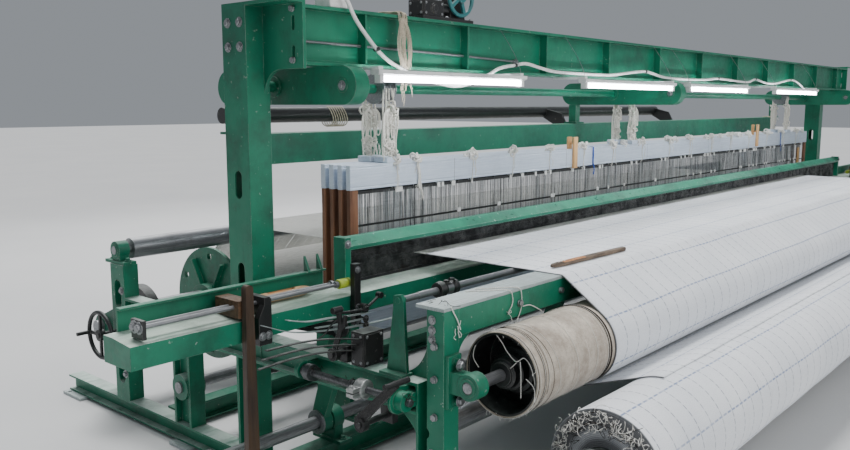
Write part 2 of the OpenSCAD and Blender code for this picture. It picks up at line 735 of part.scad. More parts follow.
module picking_stick_right() {
  mirror([1, 0, 0]) picking_stick();
}

// One heald frame: two rails, end stiles, rods and the healds, spaced to clear the warp strips
module heald_frame(k) {
  y = heald_y + (k - 1) * heald_pitch;
  y0 = y - heald_t / 2;
  stile_w = 45;
  rod_h = 14;
  x0 = heald_end[0];
  x1 = heald_end[1];
  color(bright) {
    for (z = [heald_top_z, heald_low_z - heald_rail_h]) difference() {
      box(x0, x1, y0, y0 + heald_t, z, z + heald_rail_h);
      box(x0 + 30, x1 - 30, y0 + 4, y0 + heald_t - 4, z + 8, z + heald_rail_h - 8);
    }
  }
  color(timber) {
    box(x0, x0 + stile_w, y0 + 3, y0 + heald_t - 3, heald_low_z, heald_top_z);
    box(x1 - stile_w, x1, y0 + 3, y0 + heald_t - 3, heald_low_z, heald_top_z);
    if (k == 1 || k == 3) for (x = rope_x)
      box(x - 60, x + 60, y0, y0 + heald_t + heald_pitch, heald_top_z + heald_rail_h, heald_top_z + heald_rail_h + yoke_h);
  }
  color(steel) {
    for (z = [heald_low_z + 10, heald_top_z - 10 - rod_h]) box(x0 + stile_w, x1 - stile_w, y - 3, y + 3, z, z + rod_h);
    for (n = [0:reed_gaps]) let (x = -reed_half + n * reed_pitch)
      if (n % 2 == k % 2 && x > x0 + stile_w + 10 && x < x1 - stile_w - 10)
        box(x - 4, x + 4, y - 2, y + 2, heald_low_z + 10 + rod_h, heald_top_z - 10 - rod_h);
  }
}

module heald_frame_1() {
  heald_frame(1);
}

module heald_frame_2() {
  heald_frame(2);
}

module heald_frame_3() {
  heald_frame(3);
}

module heald_frame_4() {
  heald_frame(4);
}

// Grooved guides that hold the lower ends of the frames, standing on the middle cross rail
module heald_guides() {
  finger_t = heald_pitch - heald_t - 2;
  reach = 26;
  back_t = 30;
  base = foot_t + tie_h;
  y_first = heald_y - heald_pitch / 2;
  y_last = heald_y + 3.5 * heald_pitch;
  color(green) for (s = [-1, 1]) let (x = s < 0 ? heald_end[0] : heald_end[1]) translate([x + s * 6, 0, 0])
    mirror([s < 0 ? 1 : 0, 0, 0]) {
      box(0, back_t, y_first, y_last, base, heald_low_z + 20);
      for (k = [0:4]) translate([0, heald_y + (k - 0.5) * heald_pitch, 0])
        box(-reach, 0, -finger_t / 2, finger_t / 2, heald_low_z - heald_rail_h - 60, heald_low_z + 20);
      box(-20, back_t + 20, rock_y - 40, y_last, base, base + 14);
    }
}

module top_roller() {
  sheave_w = 90;
  color(green) rod_x(-sword_x - 90, sword_x + 90, top_y, top_z, top_shaft_r);
  color(steel) for (x = rope_x) translate([x, 0, 0]) {
    rod_x(-sheave_w / 2, sheave_w / 2, top_y, top_z, sheave_r);
    for (s = [-1, 0, 1]) rod_x(s * 42 - 3, s * 42 + 3, top_y, top_z, sheave_r + 2 * rope_r);
  }
}

// Rope falls from the sheaves to the yokes, three strands in each bundle with a hank of spare turns
module rope_falls(y, low) {
  color(white) for (x = rope_x) translate([x, y, 0]) {
    for (s = [-1, 1]) translate([s * 21, 0, 0]) rod_z(low, top_z, 0, 0, rope_r);
    translate([0, 0, low + 90]) rotate([90, 0, 0]) translate([0, 0, -7])
      linear_extrude(14) difference() {
        slot_outline_upright(150, 14);
        slot_outline_upright(104, 5);
      }
    for (z = [low + 30, low + 180]) translate([0, 0, z]) box(-33, 33, -rope_r, rope_r, 0, 16);
  }
}

module slot_outline_upright(length, r) {
  rotate(90) slot_outline(length, r);
}

module ropes_front() {
  rope_falls(rope_y[0], heald_top_z + heald_rail_h + yoke_h + slack);
}

module ropes_rear() {
  rope_falls(rope_y[1], heald_top_z + heald_rail_h + yoke_h + slack);
}

// Column with a foot, and the slotted head bracket that carries the end of the girder
module column() {
  wall = 8;
  x1 = frame_x;
  x0 = x1 - column_w;
  top = girder_z + girder_h + 20;
  color(green) {
    difference() {
      box(x0, x1, column_y, column_y + column_d, rail_z + 16, top);
      box(x0 + wall, x1 - wall, column_y + wall, column_y + column_d - wall, rail_z + 15, top + 1);
      for (z = [girder_z - 500, girder_z - 900]) translate([0, column_y + column_d / 2, z])
        rotate([0, 90, 0]) linear_extrude(2 * frame_x) slot_outline(120, 24);
    }
    box(inner_x - 70, frame_x, column_y - 30, column_y + column_d + 30, rail_z, rail_z + 16);
    difference() {
      box(girder_half, girder_half + 16, girder_y - girder_w / 2, column_y, girder_z - 14, top);
      for (z = [girder_z + 50, girder_z + 170]) translate([girder_half - 1, girder_y, z]) rotate([0, 90, 0])
        linear_extrude(18) slot_outline(60, 9);
    }
    run_x(girder_half, girder_half + 16) translate([column_y, girder_z - 14]) mirror([1, 0]) mirror([0, 1])
      corner_web(110);
    box(girder_half, frame_x, girder_y - girder_w / 2, column_y, top - 14, top);
  }
}

module columns() {
  both_sides() column();
}

module girder() {
  web_t = 10;
  stiff_pitch = 720;
  top = girder_z + girder_h;
  color(green) {
    for (z = [girder_z, top - flange_t])
      box(-girder_half, girder_half, girder_y - girder_w / 2, girder_y + girder_w / 2, z, z + flange_t);
    box(-girder_half, girder_half, girder_y - web_t / 2, girder_y + web_t / 2, girder_z + flange_t, top - flange_t);
    for (k = [-5:5]) for (s = [0, 1]) box(k * stiff_pitch - 5, k * stiff_pitch + 5,
      girder_y + (s ? web_t / 2 : 8 - girder_w / 2), girder_y + (s ? girder_w / 2 - 8 : -web_t / 2),
      girder_z + flange_t, top - flange_t);
    for (s = [0, 1]) translate([0, girder_y + (s ? -web_t / 2 : web_t / 2), girder_z + flange_t]) mirror([0, s, 0])
      run_x(-girder_half, girder_half) polygon([[0, 0], [10, 0], [0, 10]]);
  }
}

// Obround arms under the girder, with the roller's bores and a short post down to the rear beam
module arms() {
  post = 60;
  post_y = beam_back_y + 40;
  r = arm_h / 2;
  color(green) for (x = arm_x) difference() {
    union() {
      translate([x - arm_t / 2, 0, 0]) run_x(0, arm_t) {
        translate([arm_y0 + r, girder_z - arm_h]) square([arm_y1 - arm_y0 - arm_h, arm_h]);
        for (y = [arm_y0 + r, arm_y1 - r]) translate([y, top_z]) circle(r = r, $fn = 96);
      }
      translate([x - arm_t / 2 - 8, 0, 0]) run_x(0, arm_t + 16) translate([top_y, top_z]) circle(r = 46, $fn = 64);
      translate([x - arm_t / 2 - 3, 0, 0]) run_x(0, arm_t + 6) for (y = [arm_y0 + r, arm_y1 - r])
        translate([y, top_z]) circle(r = 30, $fn = 48);
      box(x - post / 2, x + post / 2, post_y, post_y + post, back_beam_z + back_beam_h, girder_z - arm_h);
      box(x - 60, x + 60, post_y - 20, post_y + post + 20, back_beam_z + back_beam_h, back_beam_z + back_beam_h + 12);
    }
    rod_x(x - arm_t, x + arm_t, top_y, top_z, top_shaft_r + run_fit);
  }
}

module back_beam() {
  wall = 8;
  half = sword_x - 110;
  depth = 140;
  tube_r = 42;
  tube_y = beam_back_y + depth + 215;
  tube_z = back_beam_z + back_beam_h + 85;
  tube_x = [10 - half, half - 2360];
  r = depth / 2;
  mid = beam_back_y + r;
  color(green) {
    difference() {
      box(-half, half, beam_back_y, beam_back_y + depth, back_beam_z, back_beam_z + back_beam_h);
      box(-half - 1, half + 1, beam_back_y + wall, beam_back_y + depth - wall, back_beam_z + wall,
        back_beam_z + back_beam_h - wall);
    }
    both_sides() difference() {
      translate([half, mid, back_beam_z]) cylinder(h = back_beam_h, r = r, $fn = 96);
      box(half - 2 * r, half, beam_back_y - 1, beam_back_y + depth + 1, back_beam_z - 1, back_beam_z + back_beam_h + 1);
    }
  }
  color(black) {
    rod_x(tube_x[0], tube_x[1], tube_y, tube_z, tube_r);
    for (x = [tube_x[0] + 60, arm_x[1], tube_x[1] - 60]) run_x(x - 8, x + 8) polygon([
      [beam_back_y + depth, back_beam_z + back_beam_h], [beam_back_y + depth, back_beam_z + back_beam_h - 70],
      [tube_y + 10, tube_z - 30], [tube_y - 10, tube_z + 30], [beam_back_y + depth + 40, tube_z - 10]]);
  }
}

module lamp_fittings() {
  tray_w = 52;
  tray_h = 22;
  tray_z = lamp_z + lamp_r;
  color(white) for (s = lamp_spans) {
    run_x(s[0], s[1]) translate([lamp_y, tray_z]) polygon([
      [-tray_w / 2, tray_h], [-tray_w / 2, 6], [-tray_w / 2 + 10, 0], [tray_w / 2 - 10, 0], [tray_w / 2, 6],
      [tray_w / 2, tray_h]]);
    for (x = [s[0] + 26, s[1] - 26]) {
      box(x - 11, x + 11, lamp_y - 17, lamp_y + 17, lamp_z - lamp_r - 5, tray_z);
      box(x - 14, x + 14, lamp_y - 10, girder_y, tray_z + tray_h, girder_z);
    }
  }
}

module lamp_tubes() {
  color(white) for (s = lamp_spans) rod_x(s[0] + 37, s[1] - 37, lamp_y, lamp_z - 1, lamp_r - 1.2);
}

// White wiring swept along its route, with the junction box it comes from
module wiring() {
  sides = 8;
  n = len(wire_route);
  color(white) {
    polyhedron(
      points = [for (i = [0:n - 1]) let (
          d = wire_route[min(i + 1, n - 1)] - wire_route[max(i - 1, 0)],
          t = d / norm(d),
          u = cross(t, abs(t[1]) > 0.9 ? [0, 0, 1] : [0, 1, 0]),
          v = u / norm(u),
          w = cross(t, v))
        for (k = [0:sides - 1]) wire_route[i] + wire_r * (cos(k * 360 / sides) * v + sin(k * 360 / sides) * w)],
      faces = concat(
        [[for (k = [0:sides - 1]) k]],
        [[for (k = [sides - 1:-1:0]) (n - 1) * sides + k]],
        [for (i = [0:n - 2], k = [0:sides - 1])
          let (a = i * sides + k, b = i * sides + (k + 1) % sides) [a, a + sides, b + sides, b]]));
    box(140 - girder_half, 240 - girder_half, girder_y - 55, girder_y + 45, girder_z + girder_h,
      girder_z + girder_h + 80);
  }
}

// Hand winch for the harness on top of the girder
module winch_base() {
  z0 = girder_z + girder_h;
  wheel = [winch_x, z0 + 125];
  color(black) {
    box(winch_x - 300, winch_x + 80, girder_y - 58, girder_y + 58, z0, z0 + 14);
    box(winch_x - 285, winch_x - 140, girder_y - 48, girder_y + 48, z0 + 14, z0 + 90);
    translate([wheel[0], 0, 0]) difference() {
      union() {
        run_y(girder_y - 20, girder_y + 50) polygon([[-60, z0 + 14], [60, z0 + 14], [34, wheel[1]], [-34, wheel[1]]]);
        rod_y(girder_y - 20, girder_y + 50, 0, wheel[1], 42);
      }
      rod_y(girder_y - 21, girder_y + 51, 0, wheel[1], 16 + run_fit);
    }
    rod_x(winch_x - 140, winch_x - 70, girder_y, z0 + 60, 26);
  }
}

module winch_wheel() {
  z0 = girder_z + girder_h;
  wheel_r = 100;
  color([0.1, 0.45, 0.45]) translate([winch_x, girder_y - 54, z0 + 125]) rotate([-90, 0, 0]) {
    cylinder(h = 100, r = 16, $fn = 48);
    cylinder(h = 33.7, r = 30, $fn = 48);
    rotate_extrude($fn = 72) translate([wheel_r - 10, 14]) circle(r = 10, $fn = 32);
    for (k = [0:4]) rotate([0, 0, k * 72]) translate([0, -9, 8]) cube([wheel_r - 12, 18, 12]);
  }
}

// The warp runs as strips through the reed and the healds, then as one sheet over the whip roll
module warp_sheet() {
  strip_end = 330;
  first = ceil((cloth_x0 + reed_half) / reed_pitch);
  last = floor((cloth_x1 + reed_half) / reed_pitch) - 1;
  a = [whip_y, whip_axis_z];
  b = [beam_y, beam_z];
  ra = whip_r + warp_clear + warp_t / 2;
  rb = beam_r + warp_clear + warp_t / 2;
  off = bearing_of(a, b) + acos((ra - rb) / norm(b - a));
  path = concat([[strip_end, cloth_mid]], arc(a, ra, 90, off, 10), arc(b, rb, off, off - 40, 8));
  color(white) {
    run_x(cloth_x0, cloth_x1) ribbon(path, warp_t);
    for (k = [first:last]) let (x = -reed_half + (k + 0.5) * reed_pitch)
      box(x - strip_w / 2, x + strip_w / 2, fell_y, strip_end, cloth_mid - warp_t / 2, cloth_mid + warp_t / 2);
  }
}

module whip_roll() {
  color(steel) {
    rod_x(-inner_x + 12, inner_x - 12, whip_y, whip_axis_z, whip_r);
    rod_x(-frame_x + 4, frame_x - 4, whip_y, whip_axis_z, roll_shaft_r);
  }
}

// Warp beam: barrel, wound warp, two dished flanges with ribs and lightening holes, and the brake drum
module warp_beam() {
  barrel_r = 90;
  flange_t2 = 22;
  edge = [cloth_x0 - 40, cloth_x1 + 40];
  drum_x = inner_x - 120;
  color(steel) {
    rod_x(-drum_x, drum_x, beam_y, beam_z, barrel_r);
    rod_x(-frame_x - 30, frame_x + 30, beam_y, beam_z, beam_shaft_r);
    both_sides() rod_x(drum_x - 60, drum_x, beam_y, beam_z, 190);
  }
  color(white) rod_x(edge[0], edge[1], beam_y, beam_z, beam_r);
  color(green) for (s = [0, 1]) translate([s ? edge[1] : edge[0] - flange_t2, beam_y, beam_z]) rotate([0, 90, 0]) {
    difference() {
      cylinder(h = flange_t2, r = beam_flange_r, $fn = 128);
      for (k = [0:5]) rotate([0, 0, k * 60]) translate([beam_flange_r * 0.84, 0, -1])
        cylinder(h = flange_t2 + 2, r = 22, $fn = 48);
    }
    for (k = [0:5]) rotate([0, 0, k * 60 + 30]) translate([barrel_r - 6, -6, s ? flange_t2 : -30])
      cube([beam_flange_r * 0.62, 12, 30]);
    translate([0, 0, s ? 0 : -60]) cylinder(h = 82, r = barrel_r + 34, $fn = 96);
  }
}

module let_off_wheel() {
  x = frame_x + 74;
  y = let_off_y;
  color(black) mirror([1, 0, 0]) {
    rod_x(inner_x, x + 40, y, beam_z, let_off_shaft_r);
    translate([x + 20, y, beam_z]) rotate([0, 90, 0]) {
      rotate_extrude($fn = 72) translate([120, 0]) circle(r = 11, $fn = 32);
      for (k = [0:3]) rotate([0, 0, k * 90]) translate([0, -8, -6]) cube([116, 16, 12]);
      translate([0, 0, -14]) cylinder(h = 28, r = 30, $fn = 48);
    }
    rod_x(x + 26, x + 96, y + 106, beam_z, 10);
  }
}

module connecting_rod() {
  eye_r = pin_r + 20;
  end_r = 38;
  shape_from = [pin_y, pin_z];
  length = norm(crank_pin - shape_from);
  slope = bearing_of(shape_from, crank_pin);
  color(black) difference() {
    run_x(rod_x0, rod_x0 + rod_t) {
      translate(shape_from) rotate(slope) {
        polygon([[20, -30], [length - 20, -22], [length - 20, 22], [20, 30]]);
        circle(r = eye_r, $fn = 64);
        translate([length, 0]) circle(r = end_r, $fn = 64);
      }
    }
    rod_x(rod_x0 - 1, rod_x0 + rod_t + 1, pin_y, pin_z, pin_r + run_fit);
    for (s = [0, 1]) translate([rod_x0 + (s ? rod_t - 8 : -1), 0, 0]) run_x(0, 9)
      translate(shape_from) rotate(slope) translate([length / 2, 0]) slot_outline(length * 0.62, 11);
  }
}

module connecting_rod_left() {
  mirror([1, 0, 0]) connecting_rod();
}

module connecting_rod_right() {
  connecting_rod();
}

// Crankshaft: a throw at each end between two webs, whose pin is the rod's own end, and the drive wheels
module crankshaft() {
  web_r = 120;
  web_w = 30;
  inner0 = rod_x0 - slack - web_w;
  outer0 = rod_x0 + rod_t + slack;
  color(steel) {
    rod_x(-inner0, inner0, crank_y, crank_z, crank_r);
    both_sides() {
      rod_x(inner0, inner0 + web_w, crank_y, crank_z, web_r);
      rod_x(outer0, outer0 + web_w, crank_y, crank_z, web_r);
      rod_x(inner0 - 50, inner0, crank_y, crank_z, crank_r + 22);
      rod_x(outer0 + web_w, frame_x + 20, crank_y, crank_z, crank_r);
    }
    rod_x(frame_x, pulley_x + pulley_w + 20, crank_y, crank_z, crank_r);
  }
  color(black) {
    translate([pulley_x, crank_y, crank_z]) pulley(pulley_r, pulley_w, crank_r + 26, 0, 5);
    run_x(frame_x + 20, frame_x + 60) translate([crank_y, crank_z]) gear_outline(crank_teeth, gear_module, -90);
  }
}

module cam_shaft() {
  cam_x = [372 - inner_x, 452 - inner_x, inner_x - 292, inner_x - 212];
  color(steel) rod_x(-frame_x - 20, frame_x + 66, crank_y, cam_z, cam_shaft_r);
  color(black) {
    run_x(frame_x + 20, frame_x + 60) translate([crank_y, cam_z]) difference() {
      gear_outline(cam_teeth, gear_module, 90 + 180 / cam_teeth);
      for (k = [0:4]) rotate(k * 72) translate([gear_module * cam_teeth * 0.31, 0]) circle(r = 30, $fn = 48);
    }
    for (k = [0:3]) translate([cam_x[k], 0, 0]) run_x(0, 34) translate([crank_y, cam_z]) rotate(k * 180) {
      circle(r = 62, $fn = 64);
      translate([34, 0]) circle(r = 52, $fn = 64);
    }
  }
}

module motor() {
  r = 120;
  x0 = pulley_x + pulley_w + 30;
  x1 = x0 + 320;
  color(green) {
    rod_x(x0 + 18, x1 - 60, motor_y, motor_z, r - 10);
    for (k = [0:17]) translate([0, motor_y, motor_z]) rotate([k * 20, 0, 0]) box(x0 + 24, x1 - 66, -4, 4, r - 14, r + 4);
    for (x = [x0, x1 - 66]) rod_x(x, x + 24, motor_y, motor_z, r + 4);
    rod_x(x1 - 60, x1, motor_y, motor_z, r);
    box(x0 + 40, x1 - 90, motor_y - 130, motor_y + 130, 0, 16);
    box(x0 + 60, x1 - 110, motor_y - 80, motor_y + 80, 16, motor_z - r + 30);
    box(x0 + 80, x0 + 190, motor_y - 70, motor_y + 70, motor_z + r - 20, motor_z + r + 60);
  }
}

module motor_pulley() {
  bore = 19;
  color(black) translate([pulley_x, motor_y, motor_z]) pulley(motor_pulley_r, pulley_w, bore + 18, 0, 3);
  color(steel) rod_x(pulley_x - 6, pulley_x + pulley_w + 29.7, motor_y, motor_z, bore);
}

module belt_loop(extra) {
  a = [crank_y, crank_z];
  b = [motor_y, motor_z];
  ra = pulley_r + extra;
  rb = motor_pulley_r + extra;
  base = bearing_of(a, b);
  half = acos((ra - rb) / norm(b - a));
  polygon(concat(arc(a, ra, base + half, base + 360 - half, 64), arc(b, rb, base - half, base + half, 32)));
}

module drive_belt() {
  color(black) run_x(pulley_x + 6, pulley_x + pulley_w - 6) difference() {
    belt_loop(1 + belt_t);
    belt_loop(1);
  }
}

// Side shaft along the left rail that drives the take-up, with its clamp hub and cam
module take_up_drive() {
  x = -side_shaft_x;
  color(steel) {
    rod_y(-925, -320, x, side_shaft_z, side_shaft_r);
    rod_y(-700, -660, x, side_shaft_z, 34);
    rod_y(-640, -620, x, side_shaft_z, 24);
  }
  color(black) {
    run_y(-400, -370) translate([x, side_shaft_z]) {
      circle(r = 34, $fn = 48);
      translate([14, -8]) circle(r = 30, $fn = 48);
    }
    rod_y(-370, -350, x, side_shaft_z, 26);
  }
}

// Pieces bolted to the left rail: shaft housings, the switch box, the swell springs and the lever pins
module rail_fittings() {
  x = -side_shaft_x;
  web_face = -(inner_x + frame_x) / 2 - section_t / 2 - 1;
  color(green) difference() {
    union() {
      for (y = [[back_y + 1, -862], [-345, -325]]) {
        rod_y(y[0], y[1], x, side_shaft_z, 36);
        box(x, web_face, y[0], y[1], side_shaft_z - 26, side_shaft_z + 26);
      }
      rod_y(-868, -856, x, side_shaft_z, 52);
      box(x + 10, web_face, -868, -856, side_shaft_z - 46, side_shaft_z + 46);
    }
    rod_y(-930, -310, x, side_shaft_z, side_shaft_r + run_fit);
  }
  color(black) {
    box(-frame_x + 4, -frame_x + 110, -640, -570, rail_z, rail_z + 132);
    for (k = [0:2]) run_y(-632 + k * 22, -618 + k * 22)
      ribbon([for (i = [0:12]) [-frame_x + 8 - i * 38, rail_z + 108 - k * 26 + 18 * sin(i * 15) + i * (5 - k)]], 4);
    rod_x(-frame_x - 150, -frame_x, lever_pin[0], lever_pin[1], lever_pin_r);
    box(-frame_x, -frame_x + 30, lever_pin[0] - 30, lever_pin[0] + 30, lever_pin[1] - 30, rail_z - rail_h);
    rod_x(-frame_x - 60, -frame_x + 6, handle_pin[0], handle_pin[1], lever_pin_r);
    box(-frame_x + 6, -frame_x + 40, handle_pin[0] - 24, handle_pin[0] + 24, rail_z, handle_pin[1] + 24);
  }
}

module t_lever() {
  x = -frame_x - 130;
  color(black) difference() {
    union() {
      run_x(x - 6, x + 6) polygon([[-742, 488], [-726, 530], [-922, 712], [-944, 692]]);
      rod_x(x - 14, x + 14, lever_pin[0], lever_pin[1], 26);
      rod_x(x - 60, x + 60, -934, 704, 11);
    }
    rod_x(x - 70, x + 15, lever_pin[0], lever_pin[1], lever_pin_r + run_fit);
  }
}

module start_handle() {
  x = -frame_x - 40;
  color(black) difference() {
    union() {
      rod_x(x - 12, x + 12, handle_pin[0], handle_pin[1], 26);
      run_x(x - 5, x + 5) ribbon([handle_pin, [-534, 750], [-556, 800], [-560, 830], [-548, 880]], 22);
      run_x(x - 5, x + 5) ribbon([[-556, 800], [-580, 830], [-586, 870]], 14);
      rod_x(x - 30, x + 14, -548, 886, 13);
    }
    rod_x(x - 14, x + 14, handle_pin[0], handle_pin[1], lever_pin_r + run_fit);
  }
}

module hex_bolt(r) {
  cylinder(h = 5, r = 1.7 * r, $fn = 32);
  translate([0, 0, 5]) cylinder(h = r * 1.1, r = 1.6 * r, $fn = 6);
}

// Bolts that hold the frame together
module frame_bolts() {
  m = 8;
  color(steel) both_sides() {
    for (z = [560, 700, 820]) translate([frame_x, front_y + 40, z]) rotate([0, 90, 0]) hex_bolt(m);
    for (y = [column_y - 15, column_y + column_d + 15], x = [inner_x - 48, frame_x - 20])
      translate([x, y, rail_z + 16]) hex_bolt(m);
    for (z = [girder_z + 20, girder_z + 225]) translate([girder_half + 16, girder_y, z]) rotate([0, 90, 0]) hex_bolt(m);
    for (y = [cloth_roll_y - 105, cloth_roll_y + 140]) translate([inner_x + 56, y, foot_t + sill_h + 14]) hex_bolt(m);
    for (x = [inner_x - 372, inner_x - 672]) translate([x, front_y, cap_z - 60]) rotate([90, 0, 0]) hex_bolt(m);
  }
}
side_frame_left();
side_frame_right();
foot_plates();
cross_rails();
breast_beam();
breast_cap();
take_up_roll();
pillow_blocks();
guide_roller();
cloth_roll();
cloth_roll_stands();
cloth();
cloth_stick();
temple_bar();
race_beam();
reed();
reed_cap();
swords();
rocking_shaft();
shuttle_box_left();
shuttle_box_right();
shuttle();
buffers();
picker_left();
picker_right();
picking_stick_left();
picking_stick_right();
heald_frame_1();
heald_frame_2();
heald_frame_3();
heald_frame_4();
heald_guides();
top_roller();
ropes_front();
ropes_rear();
columns();
girder();
arms();
back_beam();
lamp_fittings();
lamp_tubes();
wiring();
winch_base();
winch_wheel();
warp_sheet();
whip_roll();
warp_beam();
let_off_wheel();
connecting_rod_left();
connecting_rod_right();
crankshaft();
cam_shaft();
motor();
motor_pulley();
drive_belt();
take_up_drive();
rail_fittings();
t_lever();
start_handle();
frame_bolts();
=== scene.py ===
import math
import bmesh
import bpy
import numpy as np
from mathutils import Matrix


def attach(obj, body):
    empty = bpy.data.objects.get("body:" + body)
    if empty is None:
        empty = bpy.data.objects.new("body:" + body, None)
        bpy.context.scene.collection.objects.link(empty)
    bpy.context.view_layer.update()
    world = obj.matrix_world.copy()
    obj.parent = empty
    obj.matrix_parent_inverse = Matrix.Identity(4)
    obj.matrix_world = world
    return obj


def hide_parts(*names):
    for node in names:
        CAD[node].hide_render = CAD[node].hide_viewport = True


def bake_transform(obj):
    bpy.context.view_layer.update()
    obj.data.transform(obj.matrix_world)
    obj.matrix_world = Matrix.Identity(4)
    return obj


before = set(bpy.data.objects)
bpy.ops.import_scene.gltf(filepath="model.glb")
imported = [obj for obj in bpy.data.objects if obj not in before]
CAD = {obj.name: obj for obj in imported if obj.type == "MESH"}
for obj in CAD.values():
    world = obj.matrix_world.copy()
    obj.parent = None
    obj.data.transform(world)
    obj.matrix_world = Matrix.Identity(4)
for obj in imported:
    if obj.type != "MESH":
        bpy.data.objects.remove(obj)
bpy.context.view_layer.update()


# CAMERA, FLOOR AND STUDIO LIGHT. The loom is seen from the weaver's aisle past its left end, at a standing
# person's eye height. It stands on a plain pale floor, under one broad high light and two large ones.
EYE = (-6.2, -2.815, 1.66)
LOOK_DOWN = 8.27
HEADING = 41.0
FOCAL_MM = 35.0
SENSOR_MM = 36.0

camera = bpy.data.objects.new("camera", bpy.data.cameras.new("camera"))
bpy.context.scene.collection.objects.link(camera)
camera.location = EYE
camera.rotation_euler = (math.radians(90.0 - LOOK_DOWN), 0.0, math.radians(HEADING - 90.0))
camera.data.lens = FOCAL_MM
camera.data.sensor_width = SENSOR_MM
camera.data.clip_end = 100.0
bpy.context.scene.camera = camera


def tint(red, green_part, blue):
    """A screen colour, 0 to 255, as linear light: ((c / 255 + 0.055) / 1.055) to the power 2.4."""
    part = np.array([red, green_part, blue]) / 255.0
    return (*np.where(part < 0.04, part / 12.92, ((part + 0.055) / 1.055) ** 2.4), 1.0)


def add(tree, kind, sockets=None, **settings):
    """One shader node: settings are its properties, sockets its inputs, each a value or an output."""
    made = tree.nodes.new(kind)
    for key, value in settings.items():
        setattr(made, key, value)
    for key, value in (sockets or {}).items():
        if isinstance(value, bpy.types.NodeSocket):
            tree.links.new(value, made.inputs[key])
        else:
            made.inputs[key].default_value = value
    return made


def mix(tree, share, first, second):
    """The colour that is first where share is 0 and second where it is 1."""
    return add(tree, "ShaderNodeMix", {0: share, 6: first, 7: second}, data_type="RGBA").outputs[2]


def scaled(tree, value, low, high, to_low=0.0, to_high=1.0):
    """value carried from low..high to to_low..to_high, and held at the ends."""
    return add(tree, "ShaderNodeMapRange", {0: value, 1: low, 2: high, 3: to_low, 4: to_high}).outputs[0]


def maths(tree, how, first, second=0.0):
    """first and second put together by one operation, such as ADD."""
    return add(tree, "ShaderNodeMath", {0: first, 1: second}, operation=how).outputs[0]


def times(tree, first, second):
    """first multiplied by second."""
    return maths(tree, "MULTIPLY", first, second)


def axes(tree, vector):
    """The X, Y and Z of a vector."""
    return add(tree, "ShaderNodeSeparateXYZ", {0: vector}).outputs


def noise(tree, where, scale, detail=4.0, rough=0.55, squeeze=None):
    """Cloudy noise from 0 to 1, scale cells to the metre; squeeze draws it out along the axes."""
    if squeeze:
        where = add(tree, "ShaderNodeMapping", {"Vector": where, "Scale": squeeze}).outputs[0]
    return add(tree, "ShaderNodeTexNoise",
               {"Vector": where, "Scale": scale, "Detail": detail, "Roughness": rough}).outputs["Fac"]


def new_material(name, **plain):
    """A material and its Principled shader; plain gives the sockets that are the same all over."""
    material = bpy.data.materials.new(name)
    material.use_nodes = True
    shader = material.node_tree.nodes["Principled BSDF"]
    for label, value in plain.items():
        shader.inputs[label.replace("_", " ")].default_value = value
    return material, material.node_tree, shader


floor_paint, tree, shader = new_material("studio floor", Roughness=0.75)
place = add(tree, "ShaderNodeTexCoord").outputs["Object"]
tree.links.new(mix(tree, noise(tree, place, 0.6), tint(196, 197, 198), tint(212, 212, 211)),
               shader.inputs["Base Color"])
mesh = bpy.data.meshes.new("floor")
mesh.from_pydata([(x, y, -0.001) for x in (-60, 60) for y in (-60, 60)], [], [(0, 2, 3, 1)])
mesh.materials.append(floor_paint)
floor = bpy.data.objects.new("floor", mesh)
bpy.context.scene.collection.objects.link(floor)

world = bpy.data.worlds.new("studio")
world.use_nodes = True
world.node_tree.nodes["Background"].inputs["Color"].default_value = (0.86, 0.92, 1.0, 1.0)
world.node_tree.nodes["Background"].inputs["Strength"].default_value = 0.32
bpy.context.scene.world = world
for name, kind, where, aim, size, power in (
        ("key", "SUN", (1.0, 2.0, 8.0), (0.0, 0.0, 0.8), 0.4, 3.2),
        ("fill", "AREA", (-3.0, -7.0, 4.5), (-0.5, 0.0, 0.9), 6.0, 330.0),
        ("back", "AREA", (1.0, 6.5, 5.5), (0.0, 0.0, 1.0), 6.0, 300.0)):
    lamp = bpy.data.objects.new(name, bpy.data.lights.new(name, kind))
    if kind == "SUN":
        lamp.data.angle = size
    else:
        lamp.data.size = size
    lamp.data.energy = power
    lamp.location = where
    toward = np.array(aim) - np.array(where)
    lamp.rotation_euler = (math.atan2(np.hypot(toward[0], toward[1]), -toward[2]), 0.0,
                           math.atan2(toward[1], toward[0]) - math.pi / 2)
    bpy.context.scene.collection.objects.link(lamp)


# SIDE FRAMES, COLUMNS AND CROSS RAILS. Rolled and welded steel, brushed with thick emerald enamel that
# has chipped along its edges and is soiled with oil and lint. The tops that hands and cloth rub are pale.
def new_group(name, takes, gives):
    """An empty node group with named sockets: f is a float and v a vector."""
    tree = bpy.data.node_groups.new(name, "ShaderNodeTree")
    kinds = {"f": "NodeSocketFloat", "v": "NodeSocketVector"}
    for side, names in (("INPUT", takes), ("OUTPUT", gives)):
        for label, kind in names.items():
            tree.interface.new_socket(name=label, in_out=side, socket_type=kinds[kind])
    return tree, tree.nodes.new("NodeGroupInput").outputs, tree.nodes.new("NodeGroupOutput").inputs


tree, given, result = new_group("edge wear", {"Place": "v", "Reach": "f"}, {"Worn": "f", "Round": "v"})
bevel = add(tree, "ShaderNodeBevel", {"Radius": given["Reach"]}, samples=4).outputs[0]
flat = add(tree, "ShaderNodeNewGeometry").outputs["Normal"]
facing = add(tree, "ShaderNodeVectorMath", {0: bevel, 1: flat}, operation="DOT_PRODUCT").outputs["Value"]
patchy = scaled(tree, noise(tree, given["Place"], 9.0, 6.0, 0.7), 0.42, 0.62)
tree.links.new(times(tree, scaled(tree, facing, 0.995, 0.86), patchy), result["Worn"])
tree.links.new(bevel, result["Round"])
EDGE_WEAR = tree

